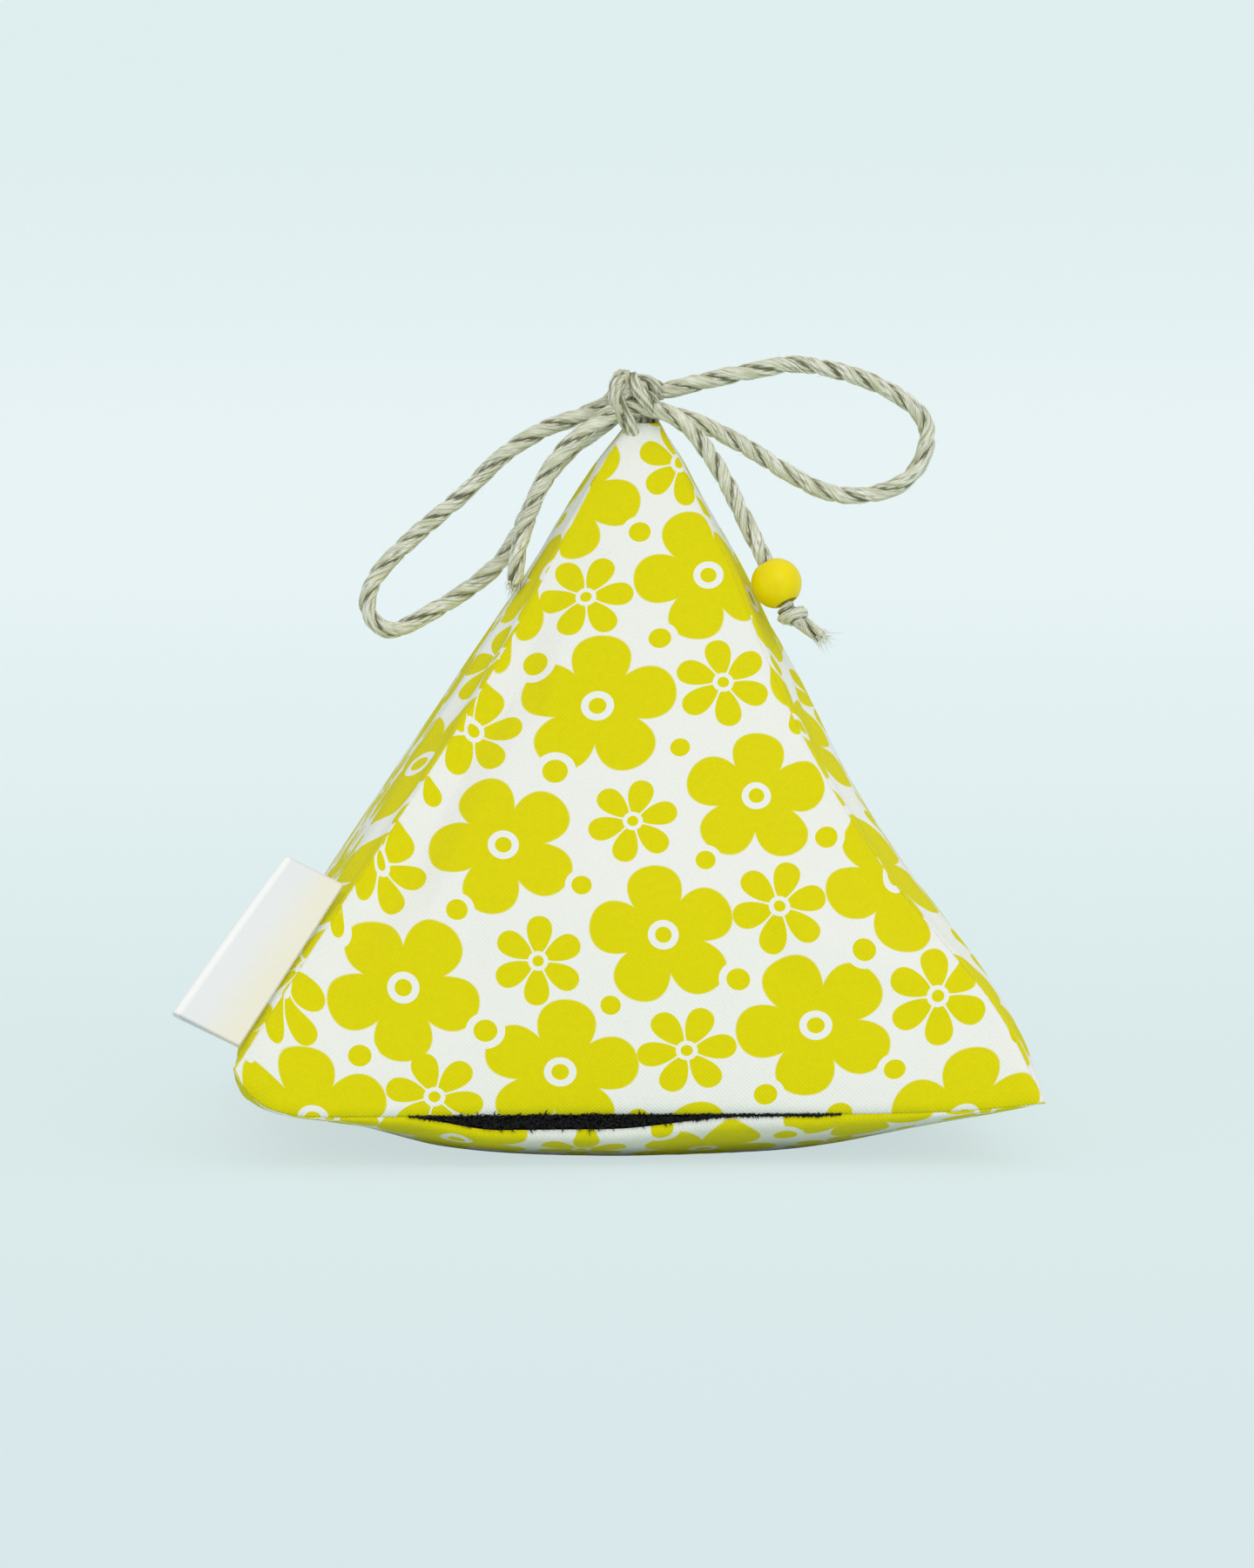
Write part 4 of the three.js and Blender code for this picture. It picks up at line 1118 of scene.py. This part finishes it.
def lay_twine(name, route, seed, size=1.0, frayed=False, hairy=1.0, hairs_end=0.875, deeper_shade=0.0):
    """A stretch of the twine along a route: two twisted plies with loose fibres, frayed at its end or not."""
    line = smooth_line(route, TWINE_STEP)
    along = unit(np.gradient(line, axis=0))
    side = any_side(along[0])
    sides = []
    for heading in along:
        side = unit(side - heading * np.dot(side, heading))
        sides.append(side)
    sides = np.array(sides)
    overs = np.cross(along, sides)
    walked = np.arange(len(line)) * np.linalg.norm(line[1] - line[0])
    flare = frayed * np.clip(1 - (walked[-1] - walked) / FRAY_LENGTH, 0, 1) ** 2
    angles = np.linspace(0, 2 * np.pi, PLY_SIDES, endpoint=False)
    uneven_twist = (
        SLOW_TWIST * np.sin(walked / SLOW_TWIST_LENGTH + seed)
        + QUICK_TWIST * np.sin(walked / QUICK_TWIST_LENGTH + 2 * seed)
    )
    yarns = np.cos(PLY_YARNS * (angles[None, :] + 2 * np.pi * walked[:, None] / YARN_PITCH))
    points, faces, places, crests = [], [], [], []
    for ply in (0, 1):
        turn = 2 * np.pi * walked / PLY_PITCH + uneven_twist + np.pi * ply
        outward = np.cos(turn)[:, None] * sides + np.sin(turn)[:, None] * overs
        around = np.cos(turn)[:, None] * overs - np.sin(turn)[:, None] * sides
        core = line + (PLY_OFFSET * size * (1 + FRAY_OPENING * flare))[:, None] * outward
        slow_spin = np.sin(walked / SLOW_SPIN_LENGTH + 2 * ply + seed)
        uneven = 1 + UNEVEN_SPIN * slow_spin * np.sin(walked / QUICK_SPIN_LENGTH + seed)
        fat = size * (uneven * (1 - FRAY_THINNING * flare))[:, None] * (1 + YARN_RELIEF * yarns)
        rings = (
            core[:, None, :]
            + (fat * PLY_DEPTH * np.cos(angles))[..., None] * outward[:, None, :]
            + (fat * PLY_WIDTH * np.sin(angles))[..., None] * around[:, None, :]
        )
        ply_faces, ply_places = tube(
            walked, PLY_SIDES, 2 * math.pi * PLY_WIDTH, start=len(points), shift=PLIES_APART_MM * ply
        )
        faces.extend(ply_faces)
        places.extend(ply_places)
        points.extend(rings.reshape(-1, 3))
        reach = np.linalg.norm(rings - line[:, None, :], axis=2) / (size * TWINE_DIAMETER / 2)
        # The crest share is lower in the grooves between plies and yarns, where the material paints shade;
        # the last term lowers it further for a darker painted shade.
        crests.extend(np.clip(reach - VALLEY_SHADE * (1 - yarns) - deeper_shade, 0, 1).ravel())
    chance = np.random.default_rng(seed)
    count = len(line)
    hair_count = int(hairy * HAIRS_PER_MM * walked[-1] / MM)
    hair_stops = [chance.integers(count // 8, int(hairs_end * count)) for _ in range(hair_count)]
    fray_stops = [count - 1] * (FRAY_HAIRS if frayed else 0)
    for index, stop in enumerate(hair_stops + fray_stops):
        hair_points, hair_faces = loose_fibre(
            chance, line[stop], along[stop], sides[stop], overs[stop], size, at_end=index >= hair_count
        )
        faces.extend(tuple(len(points) + i for i in face) for face in hair_faces)
        places.extend([HAIR_PLACE_MM] * sum(len(face) for face in hair_faces))
        points.extend(hair_points)
        crests.extend([1.0] * len(hair_points))
    twine = mesh_piece(name, points, faces, natural_twine, places)
    shade = twine.data.attributes.new("crest", "FLOAT", "POINT")
    shade.data.foreach_set("value", np.array(crests, np.float32))
    return twine, line


KNOT_CENTRE = np.array((2.6, -1.0, 116.3)) * MM


def from_knot(route):
    """A route given in millimetres from the bow knot's middle, in the sachet's frame."""
    return KNOT_CENTRE + np.array(route) * MM


LEFT_LOOP = [
    (-4.0, 2.3, -1.1), (-9.2, 2.3, -3.2), (-14.6, 2.2, -5.2), (-20.9, 2.1, -9.2), (-27.2, 2.0, -15.3),
    (-34.8, 1.8, -21.8), (-40.6, 1.6, -27.6), (-42.7, 1.4, -32.2), (-41.6, 1.2, -35.8), (-38.2, 1.0, -37.0),
    (-32.2, 0.8, -34.0), (-25.9, 0.6, -30.0), (-21.6, 0.4, -26.2), (-19.0, 0.3, -22.3), (-17.1, 0.2, -18.5),
    (-14.6, 0.1, -13.4), (-10.6, 0.0, -8.6), (-6.4, -0.1, -5.4), (-3.4, -0.2, -3.2),
]
RIGHT_LOOP = [
    (4.2, 2.0, 0.8), (12.0, 2.0, 2.7), (19.0, 2.0, 4.2), (25.8, 1.9, 5.2), (34.1, 1.8, 3.7),
    (41.0, 1.6, 0.8), (45.4, 1.4, -2.6), (46.7, 1.2, -6.2), (45.4, 1.0, -10.9), (41.7, 0.8, -14.3),
    (36.0, 0.6, -15.7), (30.2, 0.4, -15.0), (23.9, 0.2, -11.8), (17.6, 0.0, -7.9), (10.6, -0.2, -4.3),
    (4.1, -0.4, -2.2),
]
LEFT_TAIL = [
    (-2.6, -3.6, -1.6), (-7.2, -4.6, -4.6), (-11.8, -5.0, -8.6), (-15.0, -5.4, -13.4), (-17.1, -6.0, -18.5),
    (-18.7, -6.8, -23.5), (-19.5, -7.6, -29.7),
]
RIGHT_TAIL_TOP = [(2.8, -3.4, -1.6), (6.4, -4.8, -3.4), (9.6, -6.0, -6.4)]
BEAD_CENTRE = np.array((21.7, -12.5, -29.2))
TAIL_DIRECTION = unit(np.array((0.425, -0.242, -0.872)))
TAIL_STRAIGHT = (-19.1, -11.7, -4.3, 3.0)
RIGHT_TAIL = RIGHT_TAIL_TOP + [tuple(BEAD_CENTRE + reach * TAIL_DIRECTION) for reach in TAIL_STRAIGHT]

left_loop, left_loop_line = lay_twine("left_loop_twine", from_knot(LEFT_LOOP), seed=1)
dress(left_loop, "left_bow_loop", "left_loop")
right_loop, right_loop_line = lay_twine("right_loop_twine", from_knot(RIGHT_LOOP), seed=2)
dress(right_loop, "right_bow_loop", "right_loop")
left_tail, left_tail_line = lay_twine("left_tail_twine", from_knot(LEFT_TAIL), seed=3, frayed=True)
dress(left_tail, "plain_tail", "left_tail")
# The right tail is smooth where the bead slides on it.
right_tail, right_tail_line = lay_twine(
    "right_tail_twine", from_knot(RIGHT_TAIL), seed=4, hairy=0.45, hairs_end=0.46
)
dress(right_tail, "beaded_tail", "right_tail")

# The legs come up out of the tip side by side, and the knot's strands go on from them: one wraps the
# others on the left, one crosses the front, and the rest run through the middle.
LEG_FOOT = np.array((4.1, 0, 100.2))
LEG_SPREAD = np.array((1.08, 1.08, 0))
LEG_ROUTE = np.array([(0, 0, 0), (0, 0, 6), (0, 0, 12), (-0.7, -0.3, 14.2)])
for leg_name, leg_side, seed in (("front_leg", -1, 5), ("rear_leg", 1, 6)):
    leg_route = (LEG_FOOT + leg_side * LEG_SPREAD + LEG_ROUTE) * MM
    leg, _ = lay_twine(leg_name + "_twine", leg_route, seed, hairy=0)
    dress(leg, "bag", leg_name)
KNOT_STRANDS = [
    [
        (0.2, -1.0, -7.4), (-0.7, -2.4, -5.2), (-2.0, -3.7, -3.0), (-3.1, -4.1, -0.8), (-3.2, -3.6, 1.3),
        (-2.6, -1.8, 2.7), (-2.2, 0.6, 3.1), (-2.4, 2.8, 1.7), (-2.4, 3.4, -0.8), (-1.0, 2.6, -3.2),
        (1.6, 1.6, -4.4),
    ],
    [
        (3.2, -3.5, -1.9), (1.6, -4.1, -0.3), (-0.2, -3.4, 1.5), (-0.9, -1.4, 3.0), (-1.6, 0.8, 2.6),
        (-3.0, 2.0, 0.6), (-4.2, 2.3, -1.2),
    ],
    [
        (4.4, 2.0, 0.8), (2.2, 0.2, 2.0), (0.4, -1.8, 2.3), (-1.6, -2.6, 0.6), (-2.4, -1.8, -1.8),
        (-3.6, -0.3, -3.3),
    ],
    [(-3.0, -3.8, -1.8), (-0.6, -3.0, -1.8), (1.8, -2.2, -2.0), (4.3, -0.4, -2.3)],
    [(-4.2, 1.6, -1.2), (-1.4, 1.4, -0.2), (1.4, 1.6, 0.4), (4.4, 1.8, 0.8)],
]
strands = []
# The knot's strands get a deeper painted shade in the grooves between them.
for index, route in enumerate(KNOT_STRANDS):
    strand, _ = lay_twine(
        "bow_knot_twine", from_knot(route), seed=10 + index, size=0.98, hairy=1.4, deeper_shade=0.13
    )
    strands.append(strand)
take_up(strands)
bpy.ops.object.join()
bow_knot = bpy.context.object
bow_knot.name = "bow_knot_twine"
dress(bow_knot, "bag", "bow_knot")

# The end knot is a tight overhand knot under the bead, and its cut end is frayed.
END_KNOT_REACH = 5.9
END_KNOT_RADIUS = 1.3
END_KNOT_STEP = math.radians(38)
END_KNOT_STEPS = 11
END_KNOT_RISE = 0.16
END_KNOT_FOOT = -1.0
END_KNOT_LEAD = 1.6
STUB_DIRECTION = unit(np.array((0.78, -0.22, -0.58)))
STUB_REACH = 5.6
knot_side = unit(np.cross(TAIL_DIRECTION, STUB_DIRECTION))
knot_over = np.cross(TAIL_DIRECTION, knot_side)
end_knot_middle = BEAD_CENTRE + END_KNOT_REACH * TAIL_DIRECTION
end_knot_route = [end_knot_middle - END_KNOT_LEAD * TAIL_DIRECTION]
for step in range(END_KNOT_STEPS):
    angle = END_KNOT_STEP * step
    reach = END_KNOT_RADIUS * (math.cos(angle) * knot_side + math.sin(angle) * knot_over)
    risen = (END_KNOT_FOOT + END_KNOT_RISE * step) * TAIL_DIRECTION
    end_knot_route.append(end_knot_middle + reach + risen)
end_knot_route += [end_knot_middle + share * STUB_REACH * STUB_DIRECTION for share in (0.3, 0.65, 1)]
end_knot, _ = lay_twine("end_knot_twine", from_knot(end_knot_route), seed=20, size=0.86, frayed=True)
dress(end_knot, "beaded_tail", "end_knot")

# Bead
# A turned wooden bead dipped in gloss yellow paint, threaded on the right tail. The paint rounds the
# rims of its bore.
BEAD_DIAMETER = 8 * MM
BORE_RADIUS = 1.675 * MM
RIM_ROUNDING = 0.35 * MM
PAINT_YELLOW = linear("#fae900")
PAINT_DEEP = linear("#f0d400")

# Gloss enamel over wood: a clear even yellow with faint ripples about 2.5 mm apart and a soft shine.
RIPPLES_PER_METRE = 420
gloss_paint, tree, shader = start_material(
    "gloss_paint", Roughness=0.3, IOR=1.45, Specular_IOR_Level=0.15, Coat_Weight=0.12, Coat_Roughness=0.12
)
place = node(tree, "TexCoord").outputs["Object"]
ripples = node(tree, "TexNoise", {"Vector": place, "Scale": RIPPLES_PER_METRE, "Detail": 2})
paint = node(tree, "Mix", {SHARE: ripples, FROM: PAINT_YELLOW, TO: PAINT_DEEP}, data_type="RGBA")
ripple_bump = node(tree, "Bump", {"Height": ripples, "Strength": 0.25, "Distance": 0.1 * MM})
set_inputs(tree, shader, {"Base Color": paint, "Normal": ripple_bump})

bead_place = from_knot(BEAD_CENTRE)
bpy.ops.mesh.primitive_uv_sphere_add(
    segments=48, ring_count=36, radius=BEAD_DIAMETER / 2, location=bead_place,
    rotation=Vector(TAIL_DIRECTION).to_track_quat("Z", "Y").to_euler(),
)
bead = bpy.context.object
bead.name = "painted_bead"
bpy.ops.object.transform_apply(location=True, rotation=True, scale=True)
bpy.ops.object.mode_set(mode="EDIT")
bpy.ops.mesh.select_mode(type="VERT")
bpy.ops.mesh.select_all(action="DESELECT")
bpy.ops.object.mode_set(mode="OBJECT")
for vertex in bead.data.vertices:
    off_axis = np.linalg.norm(np.cross(np.array(vertex.co) - bead_place, TAIL_DIRECTION))
    vertex.select = bool(off_axis < BORE_RADIUS)
bpy.ops.object.mode_set(mode="EDIT")
bpy.ops.mesh.delete(type="VERT")
bpy.ops.mesh.select_non_manifold()
bpy.ops.mesh.bridge_edge_loops(number_cuts=4)
bpy.ops.mesh.select_all(action="SELECT")
bpy.ops.mesh.normals_make_consistent(inside=False)
bpy.ops.object.mode_set(mode="OBJECT")
bpy.ops.object.shade_smooth_by_angle(angle=math.radians(60))
rim = bead.modifiers.new("rim", "BEVEL")
rim.width = RIM_ROUNDING
rim.segments = 3
rim.limit_method = "ANGLE"
rim.angle_limit = math.radians(40)
bpy.ops.object.modifier_apply(modifier="rim")
bead.data.materials.append(gloss_paint)
dress(bead, "tail_bead", "bead")

# Table and backdrop
# A seamless sweep of pale paper: the table runs back and curves up into the wall behind.
SWEEP_WIDTH = 9
SWEEP_FRONT = -9
SWEEP_BACK = 1.4
SWEEP_HEIGHT = 1.8
SWEEP_CURVE = 0.6
SHADOW_SHARE = 0.24
EVEN_LIGHT = 1.06
FLOOR_NEAR = linear("#d5e4e8")
FLOOR_PALE = linear("#dae9ea")
FLOOR_FAR = linear("#e3f0f2")
WALL_BRIGHT = linear("#e8f3f4")
WALL_PALE = linear("#dfedee")


def seen_directly(tree):
    """A share that is 1 for what the camera sees, straight, mirrored or through glass, and else 0."""
    path = node(tree, "LightPath").outputs
    shown = node(tree, "Math", {0: path["Is Camera Ray"], 1: path["Is Glossy Ray"]}, operation="MAXIMUM")
    return node(tree, "Math", {0: shown, 1: path["Is Transmission Ray"]}, operation="MAXIMUM")


# Matt paper, evenly lit for the camera: most of its tone is its own, so that it is pale behind the
# object, and the rest takes the light and the object's shadow. Along the floor and up the wall its tone
# changes, each time between two places in metres: painted light, brighter towards the back and the foot
# of the wall and a little dimmer above it.
seamless_paper, tree, shader = start_material("seamless_paper", Roughness=1, Specular_IOR_Level=0)
paper_axes = node(tree, "SeparateXYZ", {0: node(tree, "TexCoord").outputs["Object"]}).outputs
paper_tone = FLOOR_NEAR
for tone, axis, start, end, change in (
    (FLOOR_PALE, "Y", -0.45, -0.1, "LINEAR"),
    (FLOOR_FAR, "Y", 0.1, 0.8, "LINEAR"),
    (WALL_BRIGHT, "Z", 0, 0.06, "SMOOTHSTEP"),
    (WALL_PALE, "Z", 0.07, 0.22, "SMOOTHSTEP"),
):
    reached = node(
        tree, "MapRange", {"Value": paper_axes[axis], "From Min": start, "From Max": end},
        interpolation_type=change,
    )
    paper_tone = node(tree, "Mix", {SHARE: reached, FROM: paper_tone, TO: tone}, data_type="RGBA")
set_inputs(tree, shader, {"Base Color": paper_tone})
even = node(tree, "Emission", {"Color": paper_tone, "Strength": EVEN_LIGHT})
even_share = node(tree, "Math", {0: seen_directly(tree), 1: 1 - SHADOW_SHARE}, operation="MULTIPLY")
paper = node(tree, "MixShader", {0: even_share, 1: shader, 2: even})
set_inputs(tree, tree.nodes["Material Output"], {"Surface": paper})

bpy.ops.mesh.primitive_plane_add(size=1)
sweep = bpy.context.object
sweep.name = "paper_sweep"
set_points(sweep, [
    (-SWEEP_WIDTH, SWEEP_FRONT, 0), (SWEEP_WIDTH, SWEEP_FRONT, 0),
    (-SWEEP_WIDTH, SWEEP_BACK, 0), (SWEEP_WIDTH, SWEEP_BACK, 0),
])
bpy.ops.object.mode_set(mode="EDIT")
bpy.ops.mesh.select_all(action="DESELECT")
bpy.ops.object.mode_set(mode="OBJECT")
for edge in sweep.data.edges:
    edge.select = all(sweep.data.vertices[i].co.y > 0 for i in edge.vertices)
bpy.ops.object.mode_set(mode="EDIT")
bpy.ops.mesh.select_mode(type="EDGE")
bpy.ops.mesh.extrude_region_move(TRANSFORM_OT_translate={"value": (0, 0, SWEEP_HEIGHT)})
bpy.ops.object.mode_set(mode="OBJECT")
curve = sweep.modifiers.new("curve", "BEVEL")
curve.width = SWEEP_CURVE
curve.segments = 24
curve.limit_method = "ANGLE"
bpy.ops.object.modifier_apply(modifier="curve")
bpy.ops.object.shade_smooth()
sweep.data.materials.append(seamless_paper)

# Camera
# The sachet is seen from about a metre away through a long lens, a little from above and a little
# from the left of the front panel's middle.
EYE_DISTANCE = 1.0
EYE_YAW = math.radians(2.5)
EYE_RISE = math.radians(4)
AIM = Vector((1.3 * MM, 0, 54.5 * MM))
LENS = 143.5
towards_eye = Vector((
    -math.sin(EYE_YAW) * math.cos(EYE_RISE),
    -math.cos(EYE_YAW) * math.cos(EYE_RISE),
    math.sin(EYE_RISE),
))
bpy.ops.object.camera_add(
    location=AIM + EYE_DISTANCE * towards_eye,
    rotation=towards_eye.to_track_quat("Z", "Y").to_euler(),
)
camera = bpy.context.object
camera.data.lens = LENS
camera.data.clip_start = 0.05
bpy.context.scene.camera = camera

# Light
# Soft daylight from a bright room, with one large window-like lamp from the front, above and to the right.
DAYLIGHT = linear("#fbfbfa")
WORLD_LIGHT = 0.78
KEY_POWER = 12
KEY_SIZE = 1.6
KEY_PLACE = Vector((0.5, -1.7, 1.2))
world = bpy.context.scene.world or bpy.data.worlds.new("room")
bpy.context.scene.world = world
world.use_nodes = True
tree = world.node_tree
daylight = tree.nodes["Background"]
set_inputs(tree, daylight, {"Color": DAYLIGHT, "Strength": WORLD_LIGHT})
distance = node(tree, "Background", {"Color": WALL_PALE, "Strength": 1})
room = node(tree, "MixShader", {0: seen_directly(tree), 1: daylight, 2: distance})
set_inputs(tree, tree.nodes["World Output"], {"Surface": room})
bpy.ops.object.light_add(
    type="AREA", location=KEY_PLACE, rotation=(KEY_PLACE - AIM).to_track_quat("Z", "Y").to_euler()
)
key = bpy.context.object
key.data.energy = KEY_POWER
key.data.size = KEY_SIZE
bpy.context.scene.view_settings.view_transform = "Standard"
